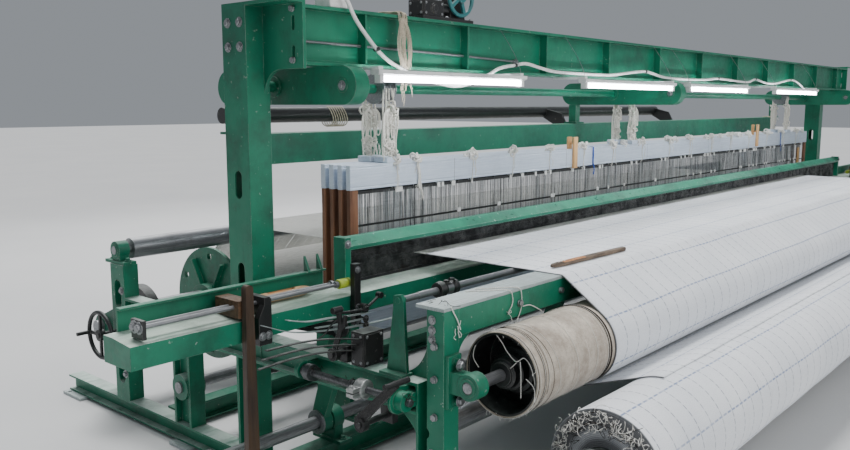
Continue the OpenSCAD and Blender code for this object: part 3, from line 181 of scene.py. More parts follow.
tree, given, result = new_group("shop dirt", {"Place": "v", "Scale": "f"},
                                {"Oil": "f", "Dust": "f", "Streak": "f", "Up": "f"})
cloud = noise(tree, given["Place"], given["Scale"], 7.0, 0.68)
tree.links.new(scaled(tree, cloud, 0.5, 0.72), result["Oil"])
up = scaled(tree, axes(tree, add(tree, "ShaderNodeNewGeometry").outputs["Normal"])["Z"], 0.6, 0.95)
tree.links.new(up, result["Up"])
lint = scaled(tree, noise(tree, given["Place"], 23.0, 5.0, 0.7), 0.35, 0.75)
tree.links.new(times(tree, up, lint), result["Dust"])
run = noise(tree, given["Place"], 16.0, 4.0, 0.6, (1.0, 1.0, 0.12))
tree.links.new(scaled(tree, run, 0.55, 0.75), result["Streak"])
SHOP_DIRT = tree


def grouped(tree, made, sockets):
    """The outputs of a node group placed with its own values."""
    return add(tree, "ShaderNodeGroup", sockets, node_tree=made).outputs


def bump_of(tree, height, strength, distance, normal=None):
    """The normal that a height gives, on top of another normal if there is one."""
    sockets = {"Height": height, "Strength": strength, "Distance": distance}
    if normal:
        sockets["Normal"] = normal
    return add(tree, "ShaderNodeBump", sockets).outputs[0]


def enamel(colour, deep, chip, rough=0.36, oil=0.6, dust=0.5, wear=0.9, chip_metal=0.4, grain=0.25,
           rubbed=None):
    """Brushed paint: two shades in clouds, dark oil in patches and runs, pale lint on what faces up, chips
    along the edges, and a rubbed pale face on top where rubbed gives its colour."""
    def look(tree, place):
        edges = grouped(tree, EDGE_WEAR, {"Place": place, "Reach": 0.004})
        dirt = grouped(tree, SHOP_DIRT, {"Place": place, "Scale": 3.2})
        base = mix(tree, noise(tree, place, 2.1, 5.0), deep, colour)
        base = mix(tree, times(tree, dirt["Streak"], 0.35), base, deep)
        if rubbed:
            share = scaled(tree, noise(tree, place, 7.0, 6.0, 0.7, (0.2, 1.0, 1.0)), 0.3, 0.52)
            base = mix(tree, times(tree, dirt["Up"], share), base, rubbed)
        base = mix(tree, times(tree, dirt["Oil"], oil), base, tint(26, 32, 28))
        spots = scaled(tree, noise(tree, place, 46.0, 3.0, 0.5), 0.7, 0.74)
        chips = maths(tree, "MAXIMUM", times(tree, edges["Worn"], wear),
                      times(tree, spots, 0.7 * wear))
        base = mix(tree, chips, base, chip)
        base = mix(tree, times(tree, dirt["Dust"], dust), base, tint(168, 182, 174))
        shine = maths(tree, "ADD", scaled(tree, dirt["Dust"], 0.0, 1.0, rough, rough + 0.35),
                      scaled(tree, noise(tree, place, 31.0), 0.3, 0.7, -0.06, 0.1))
        bump = bump_of(tree, noise(tree, place, 140.0, 3.0, 0.6), grain, 0.002, edges["Round"])
        return base, shine, times(tree, chips, chip_metal), bump
    return look


def bare_metal(colour, dark, rough=0.32, metal=0.9, scratch=0.5, rust=0.2, oil=0.4):
    """Steel with fine scratches along and across, oil stains, a little brown rust and bright edges."""
    def look(tree, place):
        edges = grouped(tree, EDGE_WEAR, {"Place": place, "Reach": 0.003})
        dirt = grouped(tree, SHOP_DIRT, {"Place": place, "Scale": 6.0})
        lines = noise(tree, place, 150.0, 4.0, 0.7, (0.04, 1.0, 1.0))
        cross = noise(tree, place, 90.0, 4.0, 0.7, (1.0, 0.06, 1.0))
        base = mix(tree, scaled(tree, lines, 0.25, 0.75), dark, colour)
        base = mix(tree, times(tree, scaled(tree, cross, 0.5, 0.8), 0.35), base, dark)
        base = mix(tree, times(tree, dirt["Oil"], oil), base, tint(34, 31, 28))
        brown = scaled(tree, noise(tree, place, 12.0, 6.0, 0.7), 0.6, 0.75)
        base = mix(tree, times(tree, brown, rust), base, tint(112, 74, 48))
        base = mix(tree, times(tree, edges["Worn"], 0.5), base, tint(205, 208, 206))
        bump = bump_of(tree, lines, scratch * 0.4, 0.001, edges["Round"])
        return (base, scaled(tree, lines, 0.3, 0.75, rough + 0.14, rough - 0.06),
                scaled(tree, dirt["Oil"], 0.0, 1.0, metal, metal * 0.5), bump)
    return look


def fibre(light, dark, scale=90.0, rough=0.85, bump=0.5, squeeze=None, soil=0.2):
    """Yarn, wood, hide, rubber or plastic in two shades, with its own grain and a little soiling."""
    def look(tree, place):
        dirt = grouped(tree, SHOP_DIRT, {"Place": place, "Scale": 5.0})
        grain = noise(tree, place, scale, 5.0, 0.65, squeeze)
        base = mix(tree, scaled(tree, grain, 0.3, 0.7), dark, light)
        base = mix(tree, times(tree, dirt["Oil"], soil), base, tint(60, 54, 48))
        bumped = bump_of(tree, grain, bump, 0.002)
        return base, scaled(tree, grain, 0.3, 0.7, rough + 0.1, rough - 0.08), None, bumped
    return look


def inside(x=None, y=None, z=None, axis=None, beyond=None):
    """A mask that is 1 within the ranges, within a radius of a line along X given as (y, z, radius), and
    further than beyond from the middle of the loom."""
    def mask(tree, place):
        parts = axes(tree, place)
        found = 1.0
        for limits, part in zip((x, y, z), parts):
            if limits:
                above = maths(tree, "GREATER_THAN", part, limits[0])
                below = maths(tree, "LESS_THAN", part, limits[1])
                found = times(tree, found, times(tree, above, below))
        if beyond:
            far_out = maths(tree, "GREATER_THAN", maths(tree, "ABSOLUTE", parts[0]), beyond)
            found = times(tree, found, far_out)
        if axis:
            off_y = maths(tree, "SUBTRACT", parts[1], axis[0])
            off_z = maths(tree, "SUBTRACT", parts[2], axis[1])
            far = maths(tree, "ADD", times(tree, off_y, off_y), times(tree, off_z, off_z))
            found = times(tree, found, maths(tree, "LESS_THAN", far, axis[2] ** 2))
        return found
    return mask


def finish(name, look, *others, **plain):
    """A material of one look, with each other look laid over it where its mask is 1."""
    material, tree, shader = new_material(name, **plain)
    place = add(tree, "ShaderNodeTexCoord").outputs["Object"]
    base, shine, metal, normal = look(tree, place)
    for mask, other in others:
        share = mask(tree, place)
        more = other(tree, place)
        base = mix(tree, share, base, more[0])
        shine = add(tree, "ShaderNodeMix", {0: share, 2: shine, 3: more[1]}).outputs[0]
        metal = add(tree, "ShaderNodeMix", {0: share, 2: metal or 0.0, 3: more[2] or 0.0}).outputs[0]
        normal = add(tree, "ShaderNodeMix", {0: share, 4: normal, 5: more[3]}, data_type="VECTOR").outputs[1]
    found = {"Base Color": base, "Roughness": shine, "Metallic": metal, "Normal": normal}
    for label, source in found.items():
        if source is not None:
            tree.links.new(source, shader.inputs[label])
    return material


def dress(material, *names):
    """The finish of carried-over CAD nodes."""
    for name in names:
        CAD[name].data.materials.clear()
        CAD[name].data.materials.append(material)


EMERALD = (tint(0, 134, 98), tint(0, 76, 60))
GREEN = enamel(*EMERALD, tint(150, 162, 152), 0.42, dust=0.28)
RUBBED = enamel(*EMERALD, tint(170, 182, 172), 0.42, dust=0.28, rubbed=tint(186, 204, 194))
STEEL = bare_metal(tint(172, 174, 176), tint(116, 118, 121))
BLACK = enamel(tint(40, 41, 42), tint(20, 20, 21), tint(128, 126, 122), oil=0.4, dust=0.3, chip_metal=0.8,
               grain=0.4)
WORN_PLATE = bare_metal(tint(196, 204, 204), tint(134, 148, 146), 0.42, 0.35, 0.4, 0.12, 0.3)
green = finish("emerald enamel", GREEN)
rubbed_green = finish("rubbed emerald enamel", RUBBED)
black = finish("oily black iron", BLACK)
steel = finish("turned steel", STEEL)
worn_plate = finish("worn plate", WORN_PLATE)
dress(rubbed_green, "side_frame_left", "side_frame_right")
dress(green, "cross_rails", "pillow_blocks", "cloth_roll_stands", "heald_guides", "columns", "arms",
      "breast_beam")
dress(worn_plate, "foot_plates", "breast_cap")
dress(steel, "frame_bolts", "guide_roller", "whip_roll")
ROCKER = (-0.065, 0.220)
ON_ROCKER = ((inside(beyond=4.3555), BLACK), (inside(axis=(*ROCKER, 0.0304)), STEEL))
dress(finish("rocking shaft and shoes", STEEL, *ON_ROCKER), "rocking_shaft")


# BREAST BEAM. A welded box beam with a pale, worn cap plate on which the cloth slides. Bolt heads hold the
# left post, and the weaver's spare strings hang over the cap's edge.
FRONT_Y = -1.038
CAP_Z = 0.960
POST_X = 4.056


def solid(points, close_rows=False, close_cols=False, cap=False):
    """A grid of points, rows by columns, as corners and four-sided faces; cap closes the two end rows."""
    rows, cols = points.shape[:2]
    index = np.arange(rows * cols).reshape(rows, cols)
    caps = [index[0].tolist()[::-1], index[-1].tolist()] if cap else []
    if close_rows:
        index = np.vstack([index, index[:1]])
    if close_cols:
        index = np.hstack([index, index[:, :1]])
    quads = np.stack([index[:-1, :-1], index[:-1, 1:], index[1:, 1:], index[1:, :-1]], -1).reshape(-1, 4)
    return points.reshape(-1, 3), quads.tolist() + caps


def tube(path, radius, sides=8):
    """A round cord along a path: each point carries a ring r (cos a, sin a) in the plane across the path."""
    path = np.asarray(path, float)
    way = np.gradient(path, axis=0)
    way /= np.linalg.norm(way, axis=1)[:, None]
    flat_way = np.linalg.svd(way)[2][2]
    across = np.cross(way, flat_way)
    across /= np.linalg.norm(across, axis=1)[:, None]
    third = np.cross(way, across)
    turn = np.linspace(0.0, 2 * np.pi, sides, endpoint=False)
    ring = np.cos(turn)[None, :, None] * across[:, None] + np.sin(turn)[None, :, None] * third[:, None]
    wide = np.broadcast_to(np.asarray(radius, float), (len(path),))
    return solid(path[:, None] + ring * wide[:, None, None], close_cols=True, cap=True)


def turned(profile, centre, axis="x", sides=48):
    """A profile of (place x, radius r) turned about an axis through centre: (x, r cos a, r sin a)."""
    profile = np.asarray(profile, float)
    turn = np.linspace(0.0, 2 * np.pi, sides, endpoint=False)
    along, out = np.broadcast_arrays(profile[:, :1], profile[:, 1:] * np.ones(sides))
    first, second = out * np.cos(turn), out * np.sin(turn)
    parts = {"x": (along, first, second), "y": (second, along, first), "z": (first, second, along)}[axis]
    return solid(np.stack(parts, -1) + np.asarray(centre, float), close_cols=True)


def piece(name, parts, material, body, bevel=0.0, smooth=35.0, uv=None, closed=True, thick=0.0):
    """One object of all the parts, with its place in its mesh, riding on a body. A closed one has its doubles
    merged and its faces turned outward."""
    corners, faces, start = [], [], 0
    for part_corners, part_faces in parts:
        corners.append(part_corners)
        faces += [[i + start for i in face] for face in part_faces]
        start += len(part_corners)
    mesh = bpy.data.meshes.new(name)
    mesh.from_pydata(np.vstack(corners).tolist(), [], faces)
    if uv is not None:
        layer = mesh.uv_layers.new(name="cut")
        loops = np.zeros(len(mesh.loops), int)
        mesh.loops.foreach_get("vertex_index", loops)
        layer.data.foreach_set("uv", np.asarray(uv, float).reshape(-1, 2)[loops].ravel())
    if closed:
        shape = bmesh.new()
        shape.from_mesh(mesh)
        bmesh.ops.remove_doubles(shape, verts=shape.verts, dist=2e-6)
        bmesh.ops.recalc_face_normals(shape, faces=shape.faces)
        shape.to_mesh(mesh)
        shape.free()
    mesh.materials.append(material)
    mesh.polygons.foreach_set("use_smooth", np.ones(len(mesh.polygons), bool))
    mesh.set_sharp_from_angle(angle=math.radians(smooth))
    made = bpy.data.objects.new(name, mesh)
    bpy.context.scene.collection.objects.link(made)
    if thick:
        wall = made.modifiers.new("thickness", "SOLIDIFY")
        wall.thickness, wall.offset = thick, 0.0
    if bevel:
        rounding = made.modifiers.new("edges", "BEVEL")
        rounding.width, rounding.segments, rounding.limit_method = bevel, 2, "ANGLE"
    if body:
        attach(made, body)
    return made


def bolts(spots, axis, r, way=1.0):
    """At each spot a round washer and a head of six sides, turned up along the axis, in multiples of r."""
    washer = np.array([[0.0, 0.0], [0.0, 1.9], [0.22, 1.9], [0.22, 0.0]]) * (r * way, r)
    head = np.array([[0.2, 0.0], [0.2, 1.25], [0.95, 1.25], [1.15, 1.0], [1.15, 0.0]]) * (r * way, r)
    return [turned(profile, spot, axis, sides)
            for spot in spots for profile, sides in ((washer, 20), (head, 6))]


def curve(points, per=6):
    """A smooth line through the points: on each stretch, the Catmull-Rom cubic of its four neighbours."""
    p = np.asarray(points, float)
    p = np.vstack([2 * p[0] - p[1], p, 2 * p[-1] - p[-2]])
    t = np.linspace(0.0, 1.0, per, endpoint=False)[:, None]
    a, b, c, d = p[:-3, None], p[1:-2, None], p[2:-1, None], p[3:, None]
    line = 2 * b + (c - a) * t + (2 * a - 5 * b + 4 * c - d) * t ** 2 + (3 * b - a - 3 * c + d) * t ** 3
    return np.vstack([0.5 * line.reshape(-1, 3), p[-2]])


STRING = fibre(tint(248, 247, 243), tint(198, 195, 185), 260.0, 0.9, 0.8)
string = finish("cotton string", STRING, Sheen_Weight=0.3)
draw = np.random.default_rng(11)


def knot(centre, size, cord_r=0.0016):
    """A tied knot: a trefoil, (sin a + 2 sin 2a, cos a - 2 cos 2a, -sin 3a), squeezed to size."""
    a = np.linspace(0.0, 2 * np.pi, 19)
    loop = np.stack([np.sin(a) + 2 * np.sin(2 * a), np.cos(a) - 2 * np.cos(2 * a), -np.sin(3 * a)], -1)
    turn = np.linalg.qr(draw.normal(size=(3, 3)))[0]
    return tube(np.asarray(centre) + (loop * (1, 1, 1.3)) @ turn * size / 3.0, cord_r, 5)


def loose_end(start, length, r=0.0014, droop=1.0):
    """A frayed end that wanders as it falls: the sum of small random steps, each a little lower."""
    steps = draw.normal(size=(5, 3)) * 0.35 + (0.0, 0.0, -droop)
    return tube(curve(np.vstack([start, start + np.cumsum(steps * length / 5.0, 0)]), 3), r, 4)


over_cap = []
for x, low, lean in ((-3.66, 0.879, -0.016), (-3.60, 0.821, -0.03)):
    over_cap.append(tube(curve([
        (x - 0.14, -0.93, CAP_Z + 0.003), (x - 0.06, -0.99, CAP_Z + 0.003),
        (x - 0.01, FRONT_Y - 0.002, CAP_Z + 0.002), (x + 0.008, FRONT_Y - 0.006, 0.93),
        (x + 0.005, FRONT_Y - 0.006, (low + 0.93) / 2), (x + lean, FRONT_Y - 0.005, low)]), 0.002, 6))
    over_cap.append(knot((x + lean, FRONT_Y - 0.006, low), 0.010))
over_cap.append(tube(curve([(-3.584, FRONT_Y - 0.007, 0.885), (-3.545, FRONT_Y - 0.012, 0.884),
                            (-3.50, FRONT_Y - 0.010, 0.866), (-3.452, FRONT_Y - 0.008, 0.842)]), 0.002, 6))
over_cap.append(tube(curve([(-4.02, FRONT_Y - 0.003, CAP_Z + 0.002), (-4.012, FRONT_Y - 0.005, 0.945),
                            (-3.99, FRONT_Y - 0.006, 0.912), (-3.97, FRONT_Y - 0.006, 0.872)]), 0.0022, 6))
over_cap += [loose_end((-3.97 - 0.01 * k, FRONT_Y - 0.006, 0.905 - 0.008 * k), 0.05) for k in range(4)]
over_cap += [loose_end((x, FRONT_Y - 0.007, z), 0.035)
             for x, z in ((-3.676, 0.88), (-3.63, 0.82), (-3.452, 0.842))]
piece("strings_over_cap", over_cap, string, "frame")

heads = bolts([(x, FRONT_Y, 0.905) for x in (-3.2, -2.0, -0.8, 0.4, 1.6, 2.8)], "y", 0.009, -1.0)
for way in (-1.0, 1.0):
    heads += bolts([(way * POST_X, -0.984, z) for z in (0.913, 0.877, 0.843, 0.42, 0.36)], "x", 0.009, way)
    heads += bolts([(way * 4.014, -1.078, z) for z in (0.76, 0.63)], "y", 0.012, -1.0)
    heads += bolts([(way * POST_X, y, z) for y in (0.07, 0.15) for z in (2.0, 1.9, 0.72)], "x", 0.011, way)
    heads += bolts([(way * POST_X, 1.145, z) for z in (0.25, 0.45, 0.70)], "x", 0.011, way)
piece("frame_bolt_heads", heads, steel, "frame")
dress(finish("guide bar and its brackets", STEEL, (inside(beyond=3.99), GREEN)), "temple_bar")
sleeve = [(-3.80, 0.0), (-3.80, 0.03), (-3.775, 0.034), (-3.765, 0.022), (-3.72, 0.022), (-3.71, 0.03),
          (-3.69, 0.03), (-3.685, 0.0)]
hook = curve([(-3.70, -0.80, 0.97), (-3.73, -0.815, 0.985), (-3.76, -0.82, 0.99)])
piece("guide_bar_eye", [turned(sleeve, (0, -0.79, 0.946), "x", 32), tube(hook, 0.006, 8),
                        *bolts([(-3.742, -0.79, 0.968)], "z", 0.010)], black, "frame")


# TAKE-UP ROLL. A steel tube with a rough canvas cover that grips the cloth. Its ends are open, on a stepped
# hub and a shaft in two pillow blocks, and threads have wound themselves on it.
ROLL_Y, ROLL_Z = -1.135, 0.695
ROLL_R, ROLL_HALF, TUBE_WALL, SHAFT_END = 0.160, 3.850, 0.014, 4.048


def collar(low, high, hole, r, centre, sides=24):
    """A round ring with a hole, between two places along X."""
    return turned([(low, hole), (low, r), (high, r), (high, hole), (low, hole)], centre, "x", sides)


def both_ends(profile, centre, sides=40):
    """A profile turned about X at the right-hand end, and its mirror image at the left-hand end."""
    return [turned(np.array(profile) * (way, 1), centre, "x", sides) for way in (-1.0, 1.0)]


def bolt_rings(x, centre, reach, count, r):
    """At both ends of the loom, bolts in a circle of that reach round a centre given as (y, z)."""
    turn = np.arange(count) * 2 * np.pi / count
    return [made for way in (-1.0, 1.0) for made in bolts(
        [(way * x, centre[0] + reach * np.cos(a), centre[1] + reach * np.sin(a)) for a in turn], "x", r, way)]


def rough_canvas(tree, place):
    """Canvas in cloudy beige, with dark and pale streaks that run round the roll, and a coarse yarn."""
    mottle = noise(tree, place, 7.0, 7.0, 0.72)
    turns = noise(tree, place, 34.0, 5.0, 0.75, (1.0, 0.07, 0.07))
    rough_yarn = noise(tree, place, 240.0, 3.0, 0.7)
    base = mix(tree, scaled(tree, mottle, 0.3, 0.68), tint(116, 100, 84), tint(206, 196, 180))
    base = mix(tree, times(tree, scaled(tree, turns, 0.6, 0.7), 0.75), base, tint(66, 50, 38))
    base = mix(tree, times(tree, scaled(tree, turns, 0.38, 0.3), 0.6), base, tint(226, 220, 208))
    base = mix(tree, scaled(tree, rough_yarn, 0.25, 0.5, 0.45, 0.0), base, tint(96, 84, 70))
    height = maths(tree, "ADD", turns, times(tree, rough_yarn, 0.6))
    return base, scaled(tree, mottle, 0.3, 0.7, 0.95, 0.82), None, bump_of(tree, height, 0.7, 0.002)


# The cover is a thin shell round the roll: its outer radius waves by half a millimetre along X and round
# the roll, and swells by 1.8 mm at each rim, as a bell 12 mm wide.
along = np.linspace(-ROLL_HALF, ROLL_HALF, 240)
around = np.linspace(0.0, 2 * np.pi, 96, endpoint=False)
swell = (0.0006 * np.sin(9.0 * along[:, None] + 2 * around) + 0.0005 * np.sin(31.0 * along[:, None] - around)
         + 0.0018 * np.exp(-((np.abs(along[:, None]) - ROLL_HALF + 0.02) / 0.012) ** 2))
outer = ROLL_R - 0.0025 + swell
inner = np.full_like(outer, ROLL_R - 0.006)
x, r = np.concatenate([along, along[::-1]]), np.concatenate([outer, inner[::-1]])
shell = np.stack([np.broadcast_to(x[:, None], r.shape), ROLL_Y + r * np.cos(around),
                  ROLL_Z + r * np.sin(around)], -1)
piece("canvas_cover", [solid(shell, close_rows=True, close_cols=True)],
      finish("canvas cover", rough_canvas, Sheen_Weight=0.3), "take_up")
tube_r = ROLL_R - TUBE_WALL
hub = [(3.700, 0.0), (3.700, tube_r), (3.716, tube_r), (3.716, 0.104), (3.742, 0.102), (3.744, 0.088),
       (3.768, 0.086), (3.770, 0.070), (3.806, 0.069), (3.810, 0.058), (3.838, 0.056), (3.842, 0.046),
       (3.850, 0.044), (3.850, 0.0)]
liner = collar(ROLL_HALF - 0.002, 0.002 - ROLL_HALF, tube_r, ROLL_R - 0.0065, (0, ROLL_Y, ROLL_Z), 96)
core = piece("take_up_core", [liner, *both_ends(hub, (0, ROLL_Y, ROLL_Z), 64),
                              *bolt_rings(3.716, (ROLL_Y, ROLL_Z), 0.123, 6, 0.008)],
             black, "take_up")
shaft = [(3.849, 0.0), (3.849, 0.022), (4.045, 0.022), (SHAFT_END, 0.019), (SHAFT_END, 0.0)]
piece("take_up_shaft", both_ends(shaft, (0, ROLL_Y, ROLL_Z)), steel, "take_up")
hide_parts("take_up_roll")

turn = np.linspace(0.0, 2 * np.pi, 61)[:-1]


def wound(x, r, thread, slant=0.0, phase=0.0):
    """A thread round the roll: (x + s sin(a + p), r cos a, r sin a), closed on itself."""
    ring = np.stack([x + slant * np.sin(turn + phase), ROLL_Y + r * np.cos(turn),
                     ROLL_Z + r * np.sin(turn)], -1)
    b = np.linspace(0.0, 2 * np.pi, 6, endpoint=False)
    out = (ring - (0, ROLL_Y, ROLL_Z)) * (0, 1, 1) / r
    skin = ring[:, None] + thread * (np.cos(b)[:, None] * out[:, None] + np.sin(b)[:, None] * (1.0, 0.0, 0.0))
    return solid(skin, close_rows=True, close_cols=True)


dark_thread = finish("dark thread", fibre(tint(58, 50, 44), tint(24, 20, 18), 240.0, 0.9, 0.6))
dark_turns = [wound(x, ROLL_R + 0.0004, t, s, p) for x, t, s, p in (
    (-3.842, 0.0011, 0.003, 0.0), (-3.800, 0.0009, 0.006, 1.0), (-3.790, 0.0009, 0.007, 1.2),
    (-3.776, 0.0007, 0.004, 2.0), (-3.752, 0.0008, 0.010, 4.0), (-3.338, 0.0016, 0.004, 0.5),
    (-3.326, 0.0022, 0.003, 0.0), (-3.318, 0.0014, 0.002, 2.0), (2.548, 0.0020, 0.004, 1.0),
    (2.562, 0.0014, 0.005, 3.0), (3.82, 0.001, 0.004, 2.0))]
piece("dark_threads_on_roll", dark_turns, dark_thread, "take_up")
pale_turns = [wound(x, ROLL_R + 0.0003, 0.0009, s, p) for x, s, p in (
    (-3.846, 0.004, 0.4), (-3.825, 0.010, 2.4), (-3.808, 0.008, 5.0), (-3.765, 0.014, 1.0),
    (-3.70, 0.020, 3.0), (-3.55, 0.03, 2.2), (-3.43, 0.018, 0.2), (-3.36, 0.012, 4.2), (-3.332, 0.006, 1.1),
    (2.60, 0.02, 1.7))]
END_X = -3.856
for line in ([(-1.107, .841), (-1.135, .812), (-1.155, .782), (-1.196, .756), (-1.228, .774), (-1.261, .748),
              (-1.278, .685), (-1.282, .630)],
             [(-1.218, .761), (-1.216, .705), (-1.221, .627)],
             [(-1.196, .751), (-1.176, .730), (-1.156, .714)],
             [(-1.0, .60), (-1.034, .565), (-1.077, .549), (-1.118, .545)],
             [(-1.242, .702), (-1.269, .683), (-1.281, .658), (-1.27, .610), (-1.232, .573)],
             [(-1.05, .822), (-1.02, .79), (-1.01, .74), (-1.03, .70)],
             [(-1.135, .848), (-1.19, .835), (-1.24, .80), (-1.276, .75)]):
    spread = draw.normal(size=len(line)) * 0.004
    pale_turns.append(tube(curve([(END_X + 0.012 + s, y, z) for s, (y, z) in zip(spread, line)]), 0.0018, 6))
for a in draw.uniform(0.0, 2 * np.pi, 46):
    spot = (-ROLL_HALF + draw.uniform(0, 0.012), ROLL_Y + 0.157 * np.cos(a), ROLL_Z + 0.157 * np.sin(a))
    pale_turns.append(loose_end(np.array(spot), draw.uniform(0.012, 0.04), 0.0007, 0.5))
piece("loose_yarn_on_roll", pale_turns, string, "take_up")


# CLOTH. One close, heavy white web with a fine dashed marking grid and a dark selvedge thread. It slides
# over the cap, wraps the take-up roll and the guide roller, and winds on to the lower roll.
CLOTH_X0, CLOTH_X1, CLOTH_T = -3.294, 2.520, 0.003
FELL_Y, CLOTH_Z = -0.295, 0.9618
GUIDE_Y, GUIDE_Z, GUIDE_GAP = -0.950, 0.490, 0.0475
BATCH_Y, BATCH_Z, BATCH_R = -1.500, 0.400, 0.220
ROLL_GAP, BATCH_GAP = 0.1625, 0.2225

tree, given, result = new_group("plain weave", {"Cut": "v", "Pitch": "f"}, {"Height": "f", "Thread": "f"})
count = add(tree, "ShaderNodeVectorMath", {0: given["Cut"], 3: given["Pitch"]}, operation="SCALE").outputs[0]
parts = axes(tree, count)
over = maths(tree, "SINE", times(tree, parts[0], math.pi))
under = maths(tree, "SINE", times(tree, parts[1], math.pi))
tree.links.new(times(tree, over, under), result["Height"])
tree.links.new(times(tree, maths(tree, "ABSOLUTE", over), maths(tree, "ABSOLUTE", under)), result["Thread"])
PLAIN_WEAVE = tree

tree, given, result = new_group("marking grid", {"Cut": "v", "Across": "f", "Along": "f"},
                                {"Grey": "f", "Blue": "f"})
parts = axes(tree, given["Cut"])
for label, part, other, step, width, dash in (("Grey", 0, 1, "Across", 0.0025, 0.030),
                                              ("Blue", 1, 0, "Along", 0.0034, 0.042)):
    wander = scaled(tree, noise(tree, given["Cut"], 1.3, 2.0), 0.0, 1.0, -0.012, 0.012)
    off = maths(tree, "ADD", parts[part], wander)
    near = maths(tree, "PINGPONG", off, times(tree, given[step], 0.5))
    line = scaled(tree, near, width * 0.7, width * 1.4, 1.0, 0.0)
    gaps = scaled(tree, maths(tree, "PINGPONG", parts[other], dash * 0.5), dash * 0.14, dash * 0.2, 0.25, 1.0)
    faint = scaled(tree, noise(tree, given["Cut"], 9.0, 3.0), 0.3, 0.6, 0.5, 1.0)
    tree.links.new(times(tree, times(tree, line, gaps), faint), result[label])
MARKING = tree


def woven(shade, left, right):
    """White cloth cut along its own map: weave with painted shade between the threads, speckle, dashed grid
    lines, dark selvedges, and faint creases painted as grey shade.
    """
    def look(tree, place):
        cut = add(tree, "ShaderNodeUVMap", uv_map="cut").outputs[0]
        weave = grouped(tree, PLAIN_WEAVE, {"Cut": cut, "Pitch": 260.0})
        grid = grouped(tree, MARKING, {"Cut": cut, "Across": 0.10, "Along": 0.20})
        speckle = noise(tree, cut, 210.0, 3.0, 0.7)
        cloud = noise(tree, cut, 2.3, 5.0, 0.6)
        # shade scales both whites: 1 leaves the cloth as it is, and less paints it darker as shade.
        base = mix(tree, scaled(tree, cloud, 0.3, 0.7), tint(222 * shade, 226 * shade, 231 * shade),
                   tint(242 * shade, 244 * shade, 247 * shade))
        base = mix(tree, scaled(tree, speckle, 0.32, 0.5, 0.45, 0.0), base, tint(168, 172, 178))
        # Painted shade: the gaps between the threads, where Thread is low, are greyed as if shaded.
        base = mix(tree, scaled(tree, weave["Thread"], 0.0, 0.5, 0.25, 0.0), base, tint(176, 180, 186))
        base = mix(tree, times(tree, grid["Grey"], 0.85), base, tint(92, 102, 122))
        base = mix(tree, times(tree, grid["Blue"], 0.9), base, tint(78, 108, 158))
        off_middle = maths(tree, "SUBTRACT", axes(tree, cut)[0], (left + right) / 2)
        half = (right - left) / 2
        edge = scaled(tree, maths(tree, "ABSOLUTE", off_middle), half - 0.010, half - 0.004, 0.0, 0.85)
        base = mix(tree, edge, base, tint(48, 48, 52))
        # Painted shade: faint creases along the cloth, drawn only as grey streaks.
        crease_shade = scaled(tree, noise(tree, cut, 5.0, 5.0, 0.7, (1.0, 0.12, 1.0)), 0.58, 0.72)
        base = mix(tree, times(tree, crease_shade, 0.22), base, tint(170, 172, 176))
        height = maths(tree, "ADD", times(tree, weave["Height"], 0.5), speckle)
        return base, scaled(tree, speckle, 0.3, 0.7, 0.95, 0.82), None, bump_of(tree, height, 0.45, 0.0015)
    return look


def bearing(start, end):
    """The angle of the line from start to end, in turns of the Y-Z plane."""
    return math.atan2(end[1] - start[1], end[0] - start[0])


def bend(centre, r, start, end, count):
    """Points at radius r round a centre in the Y-Z plane, from one angle to another."""
    a = np.linspace(start, end, count)
    return np.stack([centre[0] + r * np.cos(a), centre[1] + r * np.sin(a)], -1)


# The web's line in the Y-Z plane is straight over the cap, then follows an arc on each of the three rolls,
# with the arcs joined by their common tangents. It is carried along X, and two small ripples cross its free
# part.
one, two, three = (ROLL_Y, ROLL_Z), (GUIDE_Y, GUIDE_Z), (BATCH_Y, BATCH_Z)
cap_edge = (FRONT_Y - 0.002, CLOTH_Z)
on_roll = bearing(one, cap_edge) + math.acos(ROLL_GAP / math.dist(one, cap_edge))
off_roll = bearing(one, two) + 2 * math.pi - math.acos((ROLL_GAP + GUIDE_GAP) / math.dist(one, two))
off_guide = bearing(two, three) + math.acos((GUIDE_GAP + BATCH_GAP) / math.dist(two, three))
off_guide -= 2 * math.pi if off_guide > 0 else 0.0
flat_run = np.stack([np.linspace(FELL_Y, cap_edge[0], 40), np.full(40, CLOTH_Z)], -1)
web = np.vstack([flat_run, bend(one, ROLL_GAP, on_roll, off_roll, 44),
                 bend(two, GUIDE_GAP, off_roll - math.pi, off_guide, 20),
                 bend(three, BATCH_GAP, off_guide + math.pi, off_guide + math.pi + 0.35, 6)])
length = np.concatenate([[0.0], np.cumsum(np.linalg.norm(np.diff(web, axis=0), axis=1))])
fine = np.linspace(0.0, length[-1], 150)
web = np.stack([np.interp(fine, length, web[:, k]) for k in (0, 1)], -1)
across = np.linspace(CLOTH_X0, CLOTH_X1, 170)
way = np.gradient(web, axis=0)
way /= np.linalg.norm(way, axis=1)[:, None]
free = np.interp(fine, [0.0, 0.08, 0.40, 0.60, 0.66], [0.2, 1.0, 1.0, 0.3, 0.0])
X, S = np.meshgrid(across, fine)
ripple = 0.0012 * np.sin(7.0 * X + 1.5 * np.sin(5.0 * S)) + 0.0008 * np.sin(19.0 * X - 9.0 * S)
ripple *= free[:, None]
points = np.stack([X, web[:, :1] + way[:, 1:] * ripple, web[:, 1:] + np.abs(ripple)], -1)
cloth = piece("cloth_web", [solid(points)],
              finish("woven cloth", woven(1.0, CLOTH_X0, CLOTH_X1), Sheen_Weight=0.25), None,
              closed=False, smooth=80.0, uv=np.stack([X, S], -1), thick=CLOTH_T - 0.0006)
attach(cloth, "frame")
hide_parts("cloth")


# CLOTH ROLL. The finished cloth winds round a steel core under the take-up roll. Its left end shows the
# edges of the turns and a mass of cut selvedge yarn, and dark hubs carry it in two stands.
WOUND = (-3.740, 2.960)
